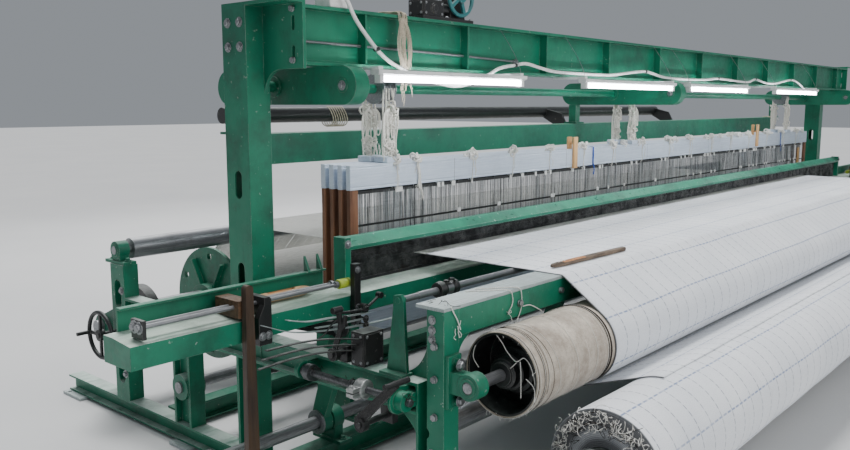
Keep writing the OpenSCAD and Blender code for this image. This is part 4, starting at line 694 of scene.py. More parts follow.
# The roll is a profile (x, r) turned about X. Each end face has a low ridge for every second turn, and the
# barrel is slack by up to 1.8 mm in one slow twisting wave.
face = np.linspace(BATCH_R, 0.084, 46)
ridge = 0.002 * (np.arange(46) % 2) + 0.003 * np.sin(face * 60.0) + 0.003
x = np.concatenate([WOUND[0] + ridge[::-1], np.linspace(WOUND[0] + 0.004, WOUND[1] - 0.004, 120),
                    WOUND[1] - ridge])
r = np.concatenate([face[::-1], np.full(120, BATCH_R), face])
around = np.linspace(0.0, 2 * np.pi, 97)
slack = np.where(r[:, None] > BATCH_R - 1e-6, 0.0009, 0.0) * (1.0 + np.sin(11.0 * x[:, None] + around))
body_r = r[:, None] - slack
points = np.stack([np.broadcast_to(x[:, None], body_r.shape), BATCH_Y + body_r * np.cos(around),
                   BATCH_Z + body_r * np.sin(around)], -1)
X, S = np.broadcast_arrays(x[:, None], around[None] * BATCH_R)
# The wound cloth is the web's own cloth painted 1.5 % darker, as shade.
roll = piece("wound_cloth", [solid(points)], finish("wound cloth", woven(0.985, *WOUND), Sheen_Weight=0.25),
             "batch", uv=np.stack([X, S], -1), closed=False, smooth=50.0)
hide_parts("cloth_roll")
hubs = []
for way, inner in ((-1.0, -WOUND[0] - 0.02), (1.0, WOUND[1] - 0.02)):
    hub = np.array([(inner, 0.0), (inner, 0.0835), (3.80, 0.0835), (3.806, 0.10), (3.826, 0.10), (3.83, 0.07),
                    (3.85, 0.068), (3.854, 0.05), (3.91, 0.05), (3.914, 0.0)])
    hubs.append(turned(hub * (way, 1), (0, BATCH_Y, BATCH_Z), "x", 56))
hubs += bolt_rings(3.826, (BATCH_Y, BATCH_Z), 0.085, 5, 0.007)
piece("cloth_roll_hubs", hubs, black, "batch")
shaft = [(3.91, 0.0), (3.91, 0.022), (4.046, 0.022), (SHAFT_END, 0.018), (SHAFT_END, 0.0)]
piece("cloth_roll_shafts", both_ends(shaft, (0, BATCH_Y, BATCH_Z)), steel, "batch")


def tangle(centre, spread, count, length, r, turns=5):
    """Loose curls of yarn: each is a sum of three sine waves with random phases, round its own place."""
    curls = []
    t = np.linspace(0.0, 1.0, 3 * turns)[:, None]
    for _ in range(count):
        start = np.asarray(centre) + draw.normal(size=3) * spread
        reach, phase = draw.normal(size=(3, 3)) * length, draw.uniform(0, 6.3, (3, 3))
        line = start + sum(reach[k] * np.sin((k + 1) * 2.4 * t + phase[k]) / (k + 1.5) for k in range(3))
        curls.append(tube(line, r, 3))
    return curls


fray = []
for a in np.linspace(0.0, 2 * np.pi, 40, endpoint=False):
    spot = (WOUND[0] - 0.012, BATCH_Y + 0.185 * np.cos(a), BATCH_Z + 0.185 * np.sin(a))
    fray += tangle(spot, (0.008, 0.018, 0.018), 9, 0.016, 0.0011)
piece("selvedge_waste", fray, string, "batch")
fray = []
for a in np.linspace(0.1, 6.2, 26):
    spot = (WOUND[0] - 0.014, BATCH_Y + 0.17 * np.cos(a), BATCH_Z + 0.17 * np.sin(a))
    fray += tangle(spot, (0.008, 0.02, 0.02), 6, 0.016, 0.0012)
piece("dark_selvedge_waste", fray, dark_thread, "batch")


# STICK ON THE CLOTH. A flat split of worn beech that the weaver has laid down, grey-brown with dark grain,
# ragged at one end and tied there with a scrap of yarn.
SPLIT_WOOD = fibre(tint(128, 110, 92), tint(38, 32, 28), 40.0, 0.75, 0.7, (0.16, 1.0, 1.0))
STICK_A, STICK_B = np.array([-3.211, -0.935, 0.9742]), np.array([-2.5996, -0.9606, 0.9742])
STICK_WIDE, STICK_THICK = 0.0175, 0.0098
# Along the stick runs a squared ring, (cos a, sin a) over the fourth root of cos^4 a + sin^4 a, narrowed by
# the taper at both ends and made uneven by small waves.
t, a = np.meshgrid(np.linspace(0.0, 1.0, 90), np.linspace(0.0, 2 * np.pi, 28, endpoint=False), indexing="ij")
taper = np.interp(t, [0, 0.02, 0.08, 0.16, 0.5, 0.93, 0.99, 1.0],
                  [0.25, 0.6, 0.74, 0.95, 1.0, 0.85, 0.7, 0.2])
ragged = 1.0 + 0.05 * np.sin(23 * t + a) + 0.10 * np.exp(-((t - 0.06) / 0.05) ** 2) * np.sin(5 * a + 40 * t)
squared = (np.abs(np.cos(a)) ** 4 + np.abs(np.sin(a)) ** 4) ** -0.25
beside = STICK_WIDE * taper * ragged * squared * np.cos(a)
above = STICK_THICK * np.minimum(taper + 0.25, 1.0) * squared * np.sin(a)
points = STICK_A + t[..., None] * (STICK_B - STICK_A) + np.stack([0.042 * beside, beside, above], -1)
FRESH_SPLIT = fibre(tint(206, 146, 92), tint(128, 82, 48), 60.0, 0.7, 0.5)
stick_wood = finish("split stick", SPLIT_WOOD, (inside(x=(-3.13, -2.96), z=(0.9812, 1.2)), FRESH_SPLIT))
split_stick = piece("split_stick", [solid(points, close_cols=True, cap=True)], stick_wood, "frame")
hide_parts("cloth_stick")
scraps = [knot(STICK_A + (0.06 + 0.012 * k, -0.004, 0.006), 0.009, 0.0012) for k in range(4)]
scraps += [loose_end(STICK_A + (0.03 + 0.02 * k, -0.004, 0.007), 0.03, 0.001, 0.2) for k in range(5)]
piece("yarn_on_stick", scraps, string, "frame")


# SLEY. Five tapered swords rock on a long shaft and carry the race beam, whose top the shuttle has rubbed
# pale. The reed stands behind the race under its capping rail, and lint hangs all along it.
REED_HALF, REED_Y, REED_Z0, REED_Z1 = 3.720, -0.218, 0.880, 1.035
RACE = enamel(tint(4, 138, 102), tint(2, 86, 68), tint(170, 182, 172), rubbed=tint(196, 212, 198))
REED_CAP = enamel(tint(6, 150, 112), tint(2, 98, 76), tint(190, 206, 196), dust=0.12, wear=1.0)
dress(finish("rubbed race beam", RACE), "race_beam")
dress(finish("reed cap enamel", REED_CAP), "reed_cap")
dress(finish("swords and pins", GREEN, (inside(beyond=3.789), STEEL)), "swords")


def bar(low, high):
    """A straight bar between two corners, low + share * (high - low). The piece's bevel rounds its edges."""
    low, high = np.array(low, float), np.array(high, float)
    pick = np.array([[[0, 0], [1, 0], [1, 1], [0, 1]]] * 2)
    rise = np.array([[0] * 4, [1] * 4])[..., None]
    return solid(low + np.concatenate([pick, rise], -1) * (high - low), close_cols=True, cap=True)


def copies(made, offsets):
    """The same corners and faces again at each offset."""
    corners, faces = made
    offsets = np.asarray(offsets, float)
    moved = (corners[None] + offsets[:, None]).reshape(-1, 3)
    step = len(corners)
    return moved, [[i + k * step for i in face] for k in range(len(offsets)) for face in faces]


DARK_WIRE = bare_metal(tint(84, 86, 88), tint(34, 34, 36), 0.45, 0.8, 0.4, 0.15, 0.5)
dark_wire = finish("reed wire", DARK_WIRE)
DENT_PITCH = 0.0046
dent_x = np.arange(-REED_HALF + 0.012, REED_HALF - 0.010, DENT_PITCH)
one_dent = bar((-0.0007, REED_Y + 0.001, REED_Z0 + 0.012), (0.0007, REED_Y + 0.0065, REED_Z1 - 0.012))
reed = piece("reed_wires", [copies(one_dent, dent_x[:, None] * (1, 0, 0))], dark_wire, "sley",
             smooth=20.0)
# A baulk is a box profile carried along X, whose height waves a little with the cord that binds the dents.
baulks = []
for low, high in ((REED_Z0 + 0.0005, REED_Z0 + 0.015), (REED_Z1 - 0.015, REED_Z1 - 0.0005)):
    x = np.linspace(-REED_HALF, REED_HALF, 500)
    ring = np.array([(0, 0), (0.008, 0), (0.008, high - low), (0, high - low)])
    wrap = 0.0004 * np.sin(x * 900.0)
    rows = np.stack([np.broadcast_to(x[:, None], (500, 4)), REED_Y + ring[:, 0] + 0 * x[:, None],
                     low + ring[:, 1] * (0.94 + 40 * wrap[:, None])], -1)
    baulks.append(solid(rows, close_cols=True, cap=True))
piece("reed_baulks", baulks, dark_wire, "sley", smooth=20.0)
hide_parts("reed")

lint = []
for x, share in zip(np.linspace(-3.70, 2.60, 300), np.linspace(1.0, 0.35, 300)):
    if draw.random() < share:
        low = 0.94 if x < CLOTH_X0 - 0.04 else 1.012
        lint += tangle((x, REED_Y - 0.012, draw.uniform(low, 1.038)), (0.02, 0.003, 0.02), 2, 0.010, 0.0007,
                       turns=4)
piece("lint_on_reed", lint, dark_thread, "sley")
piece("reed_cap_bolts", bolts([(x, -0.250, 1.062) for x in (-3.7575, 3.7575)], "y", 0.010, -1.0), steel,
      "sley")


# SHUTTLE BOXES. At each end of the race a steel fence, two spindle rods and a guide post hold the shuttle.
# The pickers slide on the rods, the yellow-green plugs stop them, and hickory sticks throw them.
ROD_YS, ROD_Z, ROD_R, GUIDE_POST_X = (-0.330, -0.300), 0.920, 0.008, 3.832
ON_RODS = [(inside(axis=(y, ROD_Z, ROD_R + 0.0004)), STEEL) for y in ROD_YS]
dress(finish("shuttle box iron", BLACK, (inside(y=(-0.215, 0.0)), GREEN), *ON_RODS), "shuttle_box_left",
      "shuttle_box_right")
buffer_shape = [(3.832, 0.0), (3.832, 0.0180), (3.835, 0.0205), (3.892, 0.0205), (3.895, 0.0180),
                (3.895, 0.0)]
BUFFER = fibre(tint(196, 214, 66), tint(128, 152, 32), 40.0, 0.45, 0.2, None, 0.4)
buffers = piece("buffer_plugs", both_ends(buffer_shape, (0, ROD_YS[0], ROD_Z)),
                finish("buffer plastic", BUFFER), "sley", smooth=40.0)
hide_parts("buffers")
dress(finish("oily hickory", fibre(tint(84, 62, 42), tint(36, 26, 20), 26.0, 0.5, 0.3, (1.0, 1.0, 0.1), 0.6)),
      "picking_stick_left", "picking_stick_right")
dress(finish("pressed rawhide", fibre(tint(112, 84, 58), tint(54, 38, 26), 60.0, 0.55, 0.5, None, 0.5)),
      "picker_left", "picker_right")
BOXWOOD = fibre(tint(206, 170, 128), tint(150, 108, 66), 34.0, 0.35, 0.2, (0.1, 1.0, 1.0))
dress(finish("shuttle wood", BOXWOOD), "shuttle")
SHUTTLE = (-4.285, -0.240, 0.9013)
tip = np.array([(-0.0004, 0.0), (-0.0004, 0.0022), (0.004, 0.0070), (0.012, 0.0122), (0.022, 0.0160),
                (0.024, 0.0150), (0.024, 0.0)])
tips = [turned(tip, SHUTTLE, "x", 32), turned(tip * (-1, 1) + (0.320, 0), SHUTTLE, "x", 32)]
piece("shuttle_tips", tips, steel, "sley")
pirn = [(0.095, 0.0), (0.095, 0.006), (0.105, 0.0095), (0.150, 0.0100), (0.190, 0.0088), (0.222, 0.0050),
        (0.226, 0.0)]
WEFT = fibre(tint(232, 160, 96), tint(190, 112, 60), 300.0, 0.85, 0.7, (1.0, 0.1, 0.1))
piece("weft_pirn", [turned(pirn, SHUTTLE + np.array([0, 0, 0.006]), "x", 32)], finish("weft yarn", WEFT),
      "sley")


def disc(low, high, r, centre, axis="x", sides=24):
    """A plain round bar between two places along an axis through centre."""
    return turned([(low, 0.0), (low, r), (high, r), (high, 0.0)], centre, axis, sides)


trims = []
for way in (-1.0, 1.0):
    trims.append(disc(way * 3.842, way * 3.8905, ROD_R, (0, ROD_YS[1], ROD_Z)))
    trims += bolts([(way * 4.800, y, ROD_Z) for y in ROD_YS], "x", 0.012, way)
    trims += [collar(way * 3.898, way * 3.912, 0.0085, 0.014, (0, y, ROD_Z)) for y in ROD_YS]
    trims += bolts([(way * GUIDE_POST_X, -0.3845, z) for z in (0.82, 0.98, 0.75)], "y", 0.008, -1.0)
    trims += bolts([(way * x, -0.383, 0.800) for x in (4.300, 4.330)], "y", 0.009, -1.0)
piece("shuttle_box_nuts", trims, steel, "sley")


# HEALD FRAMES. Four frames of satin aluminium rails and wooden stiles hang one behind the other. Thousands
# of steel wires with an eye each are threaded on black rods, which strings and cloth clips tie to the
# rails.
HEALD_X0, HEALD_X1, RAIL_T, RAIL_H = -3.446, 3.600, 0.030, 0.120
UPPER_Z, LOWER_Z, STILE_W, HEDDLE_PITCH = 1.250, 0.520, 0.055, 0.0104
RAIL_TOP = UPPER_Z + RAIL_H
HEALD_YS = [0.07, 0.13, 0.19, 0.25]
ROPE_XS = (-3.130, -0.500, 2.980)
SATIN = bare_metal(tint(216, 226, 238), tint(188, 200, 217), 0.42, 0.35, 0.2, 0.02, 0.12)


def joints(tree, place):
    """A mask that is 1 on the thin lines, 1.17 m apart, where lengths of rail are joined."""
    near = maths(tree, "PINGPONG", maths(tree, "ADD", axes(tree, place)[0], 0.31), 0.585)
    return maths(tree, "LESS_THAN", near, 0.0012)


satin = finish("satin aluminium", SATIN, (joints, fibre(tint(70, 78, 92), tint(44, 50, 60))))
STILE = fibre(tint(150, 104, 74), tint(92, 58, 40), 24.0, 0.6, 0.3, (1.0, 1.0, 0.1))
stile_wood = finish("stile wood", STILE)


def shaded_wires(tree, place):
    """A mask that picks out about a third of the wires by where they stand along the loom, to be painted dark
    as shade.
    """
    return scaled(tree, noise(tree, place, 75.0, 2.0, 0.5, (1.0, 0.02, 0.02)), 0.53, 0.56)


# One steel wire in two copies: the bright one, and a dark one that paints shade on about a third of the
# wires.
BRIGHT_HEDDLE = bare_metal(tint(224, 230, 234), tint(140, 146, 150), 0.42, 0.3, 0.3, 0.03, 0.12)
SHADED_HEDDLE = bare_metal(tint(66, 70, 74), tint(30, 32, 34), 0.45, 0.5)
heddle_wire = finish("heddle wire", BRIGHT_HEDDLE, (shaded_wires, SHADED_HEDDLE))
clip_cloth = finish("clip tape", fibre(tint(240, 240, 238), tint(206, 206, 204), 120.0, 0.9, 0.5, None, 0.1))
groove = [(0.0, 0.010), (0.0018, 0.012), (0.0018, 0.015), (0.0, 0.017)]
face = [(0.0, 0.0)] + groove + [(a, RAIL_H - b) for a, b in groove[::-1]] + [(0.0, RAIL_H)]
outline = np.array([(a - RAIL_T / 2, b) for a, b in face] + [(RAIL_T / 2 - a, b) for a, b in face[::-1]])


def along_x(profile, x0, x1):
    """A profile of (y, z) carried along X from x0 to x1."""
    rows = np.stack([np.broadcast_to(x, len(profile)) for x in (x0, x1)])
    return solid(np.concatenate([rows[..., None], np.broadcast_to(profile, (2, len(profile), 2))], -1),
                 close_cols=True, cap=True)


def strands(corners):
    """Many three-sided tubes at once, from their corners: strand, row, side and (x, y, z)."""
    count, rows = corners.shape[:2]
    index = np.arange(rows * 3).reshape(rows, 3)
    after = np.roll(index, -1, 1)
    quads = np.stack([index[:-1], after[:-1], after[1:], index[1:]], -1).reshape(-1, 4)
    caps = np.stack([index[0][::-1], index[-1]])
    step = rows * 3 * np.arange(count)[:, None, None]
    faces = (quads + step).reshape(-1, 4).tolist() + (caps + step).reshape(-1, 3).tolist()
    return corners.reshape(-1, 3), faces


def heddles(xs, y, thick):
    """Wires from rod to rod, each a thin three-sided tube that opens out to its eye at the warp's height."""
    levels = np.array([(0.656, 1.0), (0.945, 1.0), (CLOTH_Z, 2.6), (0.978, 1.0), (1.236, 1.0)])
    a = np.array([0.3, 2.4, 4.5])
    ring = np.stack([np.cos(a), np.sin(a)], -1)
    lean = draw.normal(size=(len(xs), 1)) * 0.0016
    mid = np.stack([xs[:, None] + lean * np.sin((levels[:, 0] - 0.656) * 5.4), np.full((len(xs), 5), y)], -1)
    sides = mid[:, :, None] + ring * (levels[:, 1] * thick)[None, :, None, None]
    height = np.broadcast_to(levels[:, 0][None, :, None, None], (len(xs), 5, 3, 1))
    return strands(np.concatenate([sides, height], -1))


for number, y in enumerate(HEALD_YS, 1):
    body = "healds_front" if number < 3 else "healds_rear"
    rails = [along_x(outline + (y, z), HEALD_X0, HEALD_X1) for z in (UPPER_Z, LOWER_Z)]
    rail = piece(f"heald_rails_{number}", rails, satin, body, bevel=0.0008, smooth=25.0)
    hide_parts(f"heald_frame_{number}")
    stiles = [bar((x, y - 0.012, 0.6401), (x + STILE_W, y + 0.012, 1.2499))
              for x in (HEALD_X0, HEALD_X1 - STILE_W)]
    if number in (1, 3):
        saddles = [bar((x - 0.06, y - 0.015, RAIL_TOP + 0.0001), (x + 0.06, y + 0.075, 1.400))
                   for x in ROPE_XS]
        piece(f"rope_saddles_{number}", saddles, satin, body, bevel=0.004)
    piece(f"heald_stiles_{number}", stiles, stile_wood, body, bevel=0.003)
    rod_x0, rod_x1 = HEALD_X0 + STILE_W, HEALD_X1 - STILE_W
    rods = [bar((rod_x0, y - 0.003, z), (rod_x1, y + 0.003, z + 0.014)) for z in (0.650, 1.226)]
    if number == 1:
        rods.append(bar((rod_x0, y - 0.006, 1.066), (rod_x1, y - 0.002, 1.077)))
    for x in np.arange(HEALD_X0 + 0.16, HEALD_X1 - 0.1, 0.34):
        rods.append(bar((x - 0.004, y - 0.005, 1.236), (x + 0.004, y + 0.005, 1.2505)))
        rods.append(bar((x - 0.004, y - 0.005, 0.6395), (x + 0.004, y + 0.005, 0.652)))
    piece(f"heddle_rods_{number}", rods, black, body, bevel=0.001)
    xs = np.arange(HEALD_X0 + 0.075, HEALD_X1 - 0.075, HEDDLE_PITCH) + 0.0026 * number
    xs = xs + draw.normal(size=len(xs)) * 0.0022
    wires = [heddles(xs, y, 0.0008)]
    if number in (1, 3):
        wires.append(heddles(draw.uniform(HEALD_X0 + 0.08, HEALD_X1 - 0.08, 90), y - 0.001, 0.0014))
        wires.append(heddles(draw.normal(size=60) * 0.13 - 3.05, y - 0.002, 0.0015))
    piece(f"heddles_{number}", wires, heddle_wire, body, smooth=80.0, closed=False)

ties, clips = [], []
front = HEALD_YS[0] - RAIL_T / 2 - 0.002
back = HEALD_YS[0] + RAIL_T / 2 + 0.002
for x in (-3.12, -2.96, -2.49, -2.09, -1.66, -1.24, -0.84, -0.40, 0.05, 0.47, 0.92, 1.36, 1.82, 2.32, 2.78,
          3.22):
    x = x + draw.normal() * 0.01
    lean = draw.normal(size=3) * 0.006
    loop = [(x, front, RAIL_TOP + 0.002), (x + lean[0], front, 1.31), (x + lean[1], front, UPPER_Z),
            (x, front + 0.012, 1.238), (x, back - 0.010, 1.238), (x + lean[2], back, UPPER_Z),
            (x, back, 1.31), (x, back, RAIL_TOP + 0.002), (x, back - 0.008, RAIL_TOP + 0.007),
            (x, front + 0.008, RAIL_TOP + 0.007), (x, front, RAIL_TOP + 0.002)]
    ties.append(tube(curve(loop, 4), 0.0022, 6))
    for k in range(2):
        ties.append(knot((x + 0.008 * k, front + 0.006, RAIL_TOP + 0.016), 0.036 - 0.010 * k, 0.0062))
    for k in range(3):
        tail_length = draw.uniform(0.03, 0.09)
        ties.append(loose_end((x + 0.006 * k, front - 0.004, RAIL_TOP + 0.002), tail_length, 0.0018, 1.4))
    to_rod = [(x, front, UPPER_Z), (x + lean[0], front + 0.006, 1.235), (x, front + 0.010, 1.226)]
    ties.append(tube(curve(to_rod), 0.002, 5))
for x in draw.uniform(HEALD_X0 + 0.2, HEALD_X1 - 0.1, 17):
    clips += [knot((x + 0.01 * k, HEALD_YS[0] + 0.006 * k - 0.004, RAIL_TOP + 0.010), 0.028, 0.0060)
              for k in range(2)]
for x in np.sort(draw.uniform(HEALD_X0 + 0.2, HEALD_X1 - 0.1, 46)):
    wide = draw.uniform(0.012, 0.034)
    clips.append(bar((x, HEALD_YS[0] - 0.0065, 1.218), (x + wide, HEALD_YS[0] + 0.0065, 1.246)))
for x in np.sort(draw.uniform(HEALD_X0 + 0.3, HEALD_X1 - 0.1, 30)):
    wide = draw.uniform(0.014, 0.03)
    clips.append(bar((x, HEALD_YS[0] - 0.010, 1.067), (x + wide, HEALD_YS[0] - 0.0012, 1.090)))
bundle = [(-2.962, front - 0.003, 1.36), (-2.95, front - 0.006, 1.30), (-2.945, front - 0.006, 1.24),
          (-2.93, front - 0.008, 1.205)]
for _ in range(6):
    ties.append(tube(curve(np.array(bundle) + draw.normal(size=(4, 3)) * (0.007, 0.002, 0.004)), 0.0026, 6))
ties += [loose_end((-2.93, front - 0.008, 1.21), 0.05, 0.0016, 1.0) for _ in range(8)]
piece("heald_ties", ties, string, "healds_front")
piece("heald_clips", clips, clip_cloth, "healds_front", bevel=0.0015)
pegs = []
for x, z0, z1 in ((-1.385, 1.243, 1.449), (2.02, 1.262, 1.470)):
    for y0, y1 in ((front - 0.013, front + 0.0015), (back - 0.0015, back + 0.012)):
        pegs.append(bar((x - 0.024, y0, z0), (x + 0.024, y1, z1)))
    pegs.append(disc(front - 0.016, back + 0.014, 0.006, (x, 0, 1.405), "y", 16))
pegs.append(bar((3.285, front - 0.010, 0.99), (3.335, front + 0.001, 1.20)))
PINE = fibre(tint(226, 184, 132), tint(186, 138, 86), 30.0, 0.6, 0.2, (1.0, 1.0, 0.1), 0.1)
piece("wooden_pegs", pegs, finish("fresh pine", PINE), "healds_front", bevel=0.002)


def ribbon(line, half):
    """A flat band along a line, reaching half its width to each side along X."""
    return solid(np.stack([np.array(line) - (half, 0, 0), np.array(line) + (half, 0, 0)], 1))


round_rail = [(front - 0.001, 1.30), (front - 0.002, 1.372), (front + 0.014, 1.376), (back, 1.372),
              (back, 1.30), (back, 1.25), (back - 0.016, 1.243), (front - 0.001, 1.25), (front - 0.001, 1.30)]
ribbons = []
for x in (-1.135, 2.72):
    ribbons.append(ribbon([(x, y, z) for y, z in round_rail], 0.009))
    tail = [(x, front - 0.004, 1.26), (x + 0.006, front - 0.008, 1.22), (x - 0.002, front - 0.008, 1.185)]
    ribbons.append(ribbon(curve(tail), 0.007))
RIBBON = fibre(tint(40, 92, 190), tint(22, 58, 140), 160.0, 0.7, 0.3)
piece("blue_ribbons", ribbons, finish("blue ribbon", RIBBON), "healds_front", closed=False,
      thick=0.0012)


# HARNESS ROPES AND TOP ROLLER. Cotton ropes run from the sheaves of the turning top roller to satin aluminium
# yokes on the heald frames, knotted and re-tied many times, with hanks of spare rope hanging among them.
TOP_Y, TOP_Z = 0.160, 1.740
dress(finish("roller enamel and sheaves", STEEL, (inside(axis=(TOP_Y, TOP_Z, 0.0243)), GREEN)), "top_roller")
rope = finish("cotton rope", fibre(tint(246, 244, 238), tint(196, 190, 176), 190.0, 0.9, 0.9, None, 0.08))
PLIES, LAY = 3, 0.028


def twisted(path, r):
    """A laid rope: three cords at 0.46 r from the line, each turning once round it every 28 mm."""
    path = np.asarray(path, float)
    run = np.concatenate([[0.0], np.cumsum(np.linalg.norm(np.diff(path, axis=0), axis=1))])
    fine = np.linspace(0.0, run[-1], max(8, int(run[-1] / LAY * 7)))
    line = np.stack([np.interp(fine, run, path[:, k]) for k in range(3)], -1)
    way = np.gradient(line, axis=0)
    way /= np.linalg.norm(way, axis=1)[:, None]
    side = np.cross(way, (0.31, 0.17, 0.93) if abs(way[:, 2]).mean() < 0.7 else (0.1, 0.99, 0.05))
    side /= np.linalg.norm(side, axis=1)[:, None]
    third = np.cross(way, side)
    cords = []
    for k in range(PLIES):
        a = (fine / LAY * 2 * np.pi + k * 2 * np.pi / PLIES)[:, None]
        cords.append(tube(line + 0.46 * r * (np.cos(a) * side + np.sin(a) * third), 0.54 * r, 5))
    return cords


SADDLE_TOP, KNOT_Z = 1.400, 1.640
for end, y, body in (("front", 0.0917, "healds_front"), ("rear", 0.2283, "healds_rear")):
    falls = []
    for x in ROPE_XS:
        for top_x, low_x, r in ((-0.040, -0.052, 0.0052), (-0.024, -0.030, 0.0062), (-0.004, -0.010, 0.0050),
                                (0.016, 0.022, 0.0062), (0.036, 0.048, 0.0046)):
            sway = draw.normal(size=(3, 2)) * (0.008, 0.003)
            line = [(x + top_x, y, 1.742), (x + top_x + sway[0, 0], y + sway[0, 1], 1.66),
                    (x + (top_x + low_x) / 2 + sway[1, 0], y + sway[1, 1], 1.57),
                    (x + low_x + sway[2, 0], y + sway[2, 1], 1.48), (x + low_x, y, SADDLE_TOP + 0.003)]
            falls += twisted(curve(line, 8), r)
        for z, size, ply in ((KNOT_Z, 0.034, 0.0058), (1.610, 0.026, 0.0052), (1.555, 0.020, 0.0045),
                             (1.470, 0.030, 0.0055), (1.448, 0.024, 0.0048), (1.412, 0.020, 0.0045)):
            for _ in range(2):
                spot = (x + draw.uniform(-0.034, 0.034), y - 0.004, z + draw.normal() * 0.006)
                falls.append(knot(spot, size, ply))
        for k in range(5):
            side, drop = draw.uniform(-0.060, 0.050), draw.uniform(0.08, 0.19)
            hang = [(x + side * 0.5, y - 0.010, KNOT_Z), (x + side - 0.014, y - 0.018, 1.60),
                    (x + side - 0.018, y - 0.020, KNOT_Z - drop), (x + side, y - 0.020, 1.632 - drop),
                    (x + side + 0.012, y - 0.016, 1.66 - drop), (x + side + 0.010, y - 0.014, 1.61),
                    (x + side * 0.5 + 0.008, y - 0.010, 1.641)]
            falls.append(tube(curve(hang, 5), 0.0034, 6))
        for z in (1.64, 1.63, 1.62, 1.56, 1.47, 1.46, 1.45, 1.45):
            start = (x + draw.normal() * 0.026, y - 0.012, z)
            falls.append(loose_end(start, draw.uniform(0.04, 0.12), draw.uniform(0.0014, 0.0028), 1.3))
    ropes = piece(f"harness_ropes_{end}", falls, rope, None, smooth=70.0)
    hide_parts(f"ropes_{end}")
    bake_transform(ropes)


# TOP GIRDER AND REAR BEAMS. A welded I-girder with stiffeners spans the columns and carries the arms.
# Behind it hang a box beam with rounded ends and a dark tube, with hanks of spare yarn and rope left on
# them.
dress(green, "girder")
dress(finish("rear beams", GREEN, (inside(y=(0.5705, 9.0)), BLACK)), "back_beam")


def hank(path, count, spread, thick):
    """A closed loop of yarn: so many strands along one path, each moved aside by its own small slow wave."""
    path = curve(np.asarray(path, float), 5)
    turn = np.linspace(0.0, 2 * np.pi, len(path))[:, None]
    tubes = []
    for _ in range(count):
        a, b, phase = draw.normal(size=(3, 3))
        wave = 0.5 * a + 0.4 * b * np.sin(turn + phase) + 0.25 * np.sin(3 * turn + a)
        tubes.append(tube(path + spread * wave, thick, 4))
    return tubes


over_girder = [(-3.38, -0.238, 1.84), (-3.385, -0.236, 1.93), (-3.38, -0.234, 2.02), (-3.378, -0.226, 2.066),
               (-3.38, -0.165, 2.074), (-3.385, -0.100, 2.066), (-3.39, -0.094, 2.0), (-3.385, -0.094, 1.90)]
hanks = hank(over_girder, 34, np.array([0.018, 0.004, 0.006]), 0.0019)
in_front = [(-3.39, -0.236, 2.03), (-3.41, -0.240, 1.95), (-3.40, -0.244, 1.86), (-3.375, -0.246, 1.825),
            (-3.35, -0.244, 1.87), (-3.35, -0.240, 1.95), (-3.37, -0.236, 2.03), (-3.39, -0.236, 2.03)]
hanks += hank(in_front, 22, np.array([0.012, 0.004, 0.008]), 0.0018)
hanks += [loose_end((-3.38 + draw.normal() * 0.02, -0.242, 1.86), draw.uniform(0.05, 0.14), 0.0016, 1.5)
          for _ in range(12)]
# Each turn round the dark tube and the box beam is an ellipse in the Y-Z plane that sways along X.
TUBE_Y, TUBE_Z, TUBE_R = 0.785, 1.605, 0.042
a = np.linspace(0.0, 2 * np.pi, 24)
for x in np.linspace(-2.92, -2.81, 7):
    ring = np.stack([x + 0.01 * np.sin(a * 2), TUBE_Y + (TUBE_R + 0.004) * np.cos(a),
                     TUBE_Z - 0.012 + (TUBE_R + 0.014) * np.sin(a)], -1)
    hanks.append(tube(ring, 0.0035, 6))
for x in (3.56, 3.60, 3.64):
    ring = np.stack([x + 0.006 * np.cos(a), 0.500 + 0.078 * np.cos(a), 1.437 + 0.094 * np.sin(a)], -1)
    hanks.append(tube(ring, 0.004, 6))
SPARE_YARN = fibre(tint(226, 216, 196), tint(150, 138, 118), 220.0, 0.9, 0.8)
piece("spare_hanks", hanks, finish("spare yarn", SPARE_YARN), "frame", smooth=70.0)
rail_line = [(-3.949, -0.186, 1.917), (-3.4, -0.186, 1.911), (-2.9, -0.186, 1.903), (-2.426, -0.186, 1.892)]
knob = turned([(-0.002, 0.0), (-0.002, 0.012), (0.012, 0.015), (0.026, 0.012), (0.026, 0.0)],
              (-2.44, -0.186, 1.892), "x")
piece("web_rod", [tube(curve(rail_line, 8), 0.006, 10), knob], steel, "frame")
arm_screws = []
for x in (-3.770, -0.650, 3.770):
    for way in (-1.0, 1.0):
        arm_screws += bolts([(x + way * 0.042, y, 1.740) for y in (-0.285, 0.505)], "x", 0.011, way)
piece("arm_screws", arm_screws, steel, "frame")


# LAMPS AND WIRING. White trays with bare tubes hang under the girder on hooks, fed by one loosely slung
# white cable from the junction box on the girder.
LAMP_Z, LAMP_Y = 1.770, -0.365
LAMP_SPANS = [(-3.700, -2.612), (-2.021, -0.821), (-0.600, 0.555), (1.167, 2.370)]
TRAY = enamel(tint(236, 238, 236), tint(204, 206, 204), tint(120, 118, 112), wear=0.3)
dress(finish("lamp tray enamel", TRAY), "lamp_fittings")
glass, tree, shader = new_material("lit lamp tube", Roughness=0.3, Emission_Strength=36.0)
glow = noise(tree, add(tree, "ShaderNodeTexCoord").outputs["Object"], 3.0)
lit = mix(tree, glow, tint(238, 244, 255), tint(255, 255, 255))
tree.links.new(lit, shader.inputs["Base Color"])
tree.links.new(lit, shader.inputs["Emission Color"])
dress(glass, "lamp_tubes")
caps = [disc(-0.006, 0.006, 0.013, (x, LAMP_Y, LAMP_Z - 0.0005), "x", 48)
        for low, high in LAMP_SPANS for x in (low + 0.026, high - 0.026)]
piece("lamp_caps", caps, steel, "frame")
hangers = []
for x in (-2.63, -1.99, -0.85, -0.57, 0.52, 1.19, 2.34):
    hanger = [(x, LAMP_Y + 0.01, 1.8055), (x, LAMP_Y + 0.006, 1.84), (x + 0.004, -0.31, 1.93),
              (x, -0.2245, 2.053)]
    hangers.append(tube(curve(hanger, 5), 0.0016, 6))
piece("lamp_hanger_wires", hangers, steel, "frame", smooth=60.0)
WIRE_R, WIRE_Y = 0.009, -0.250
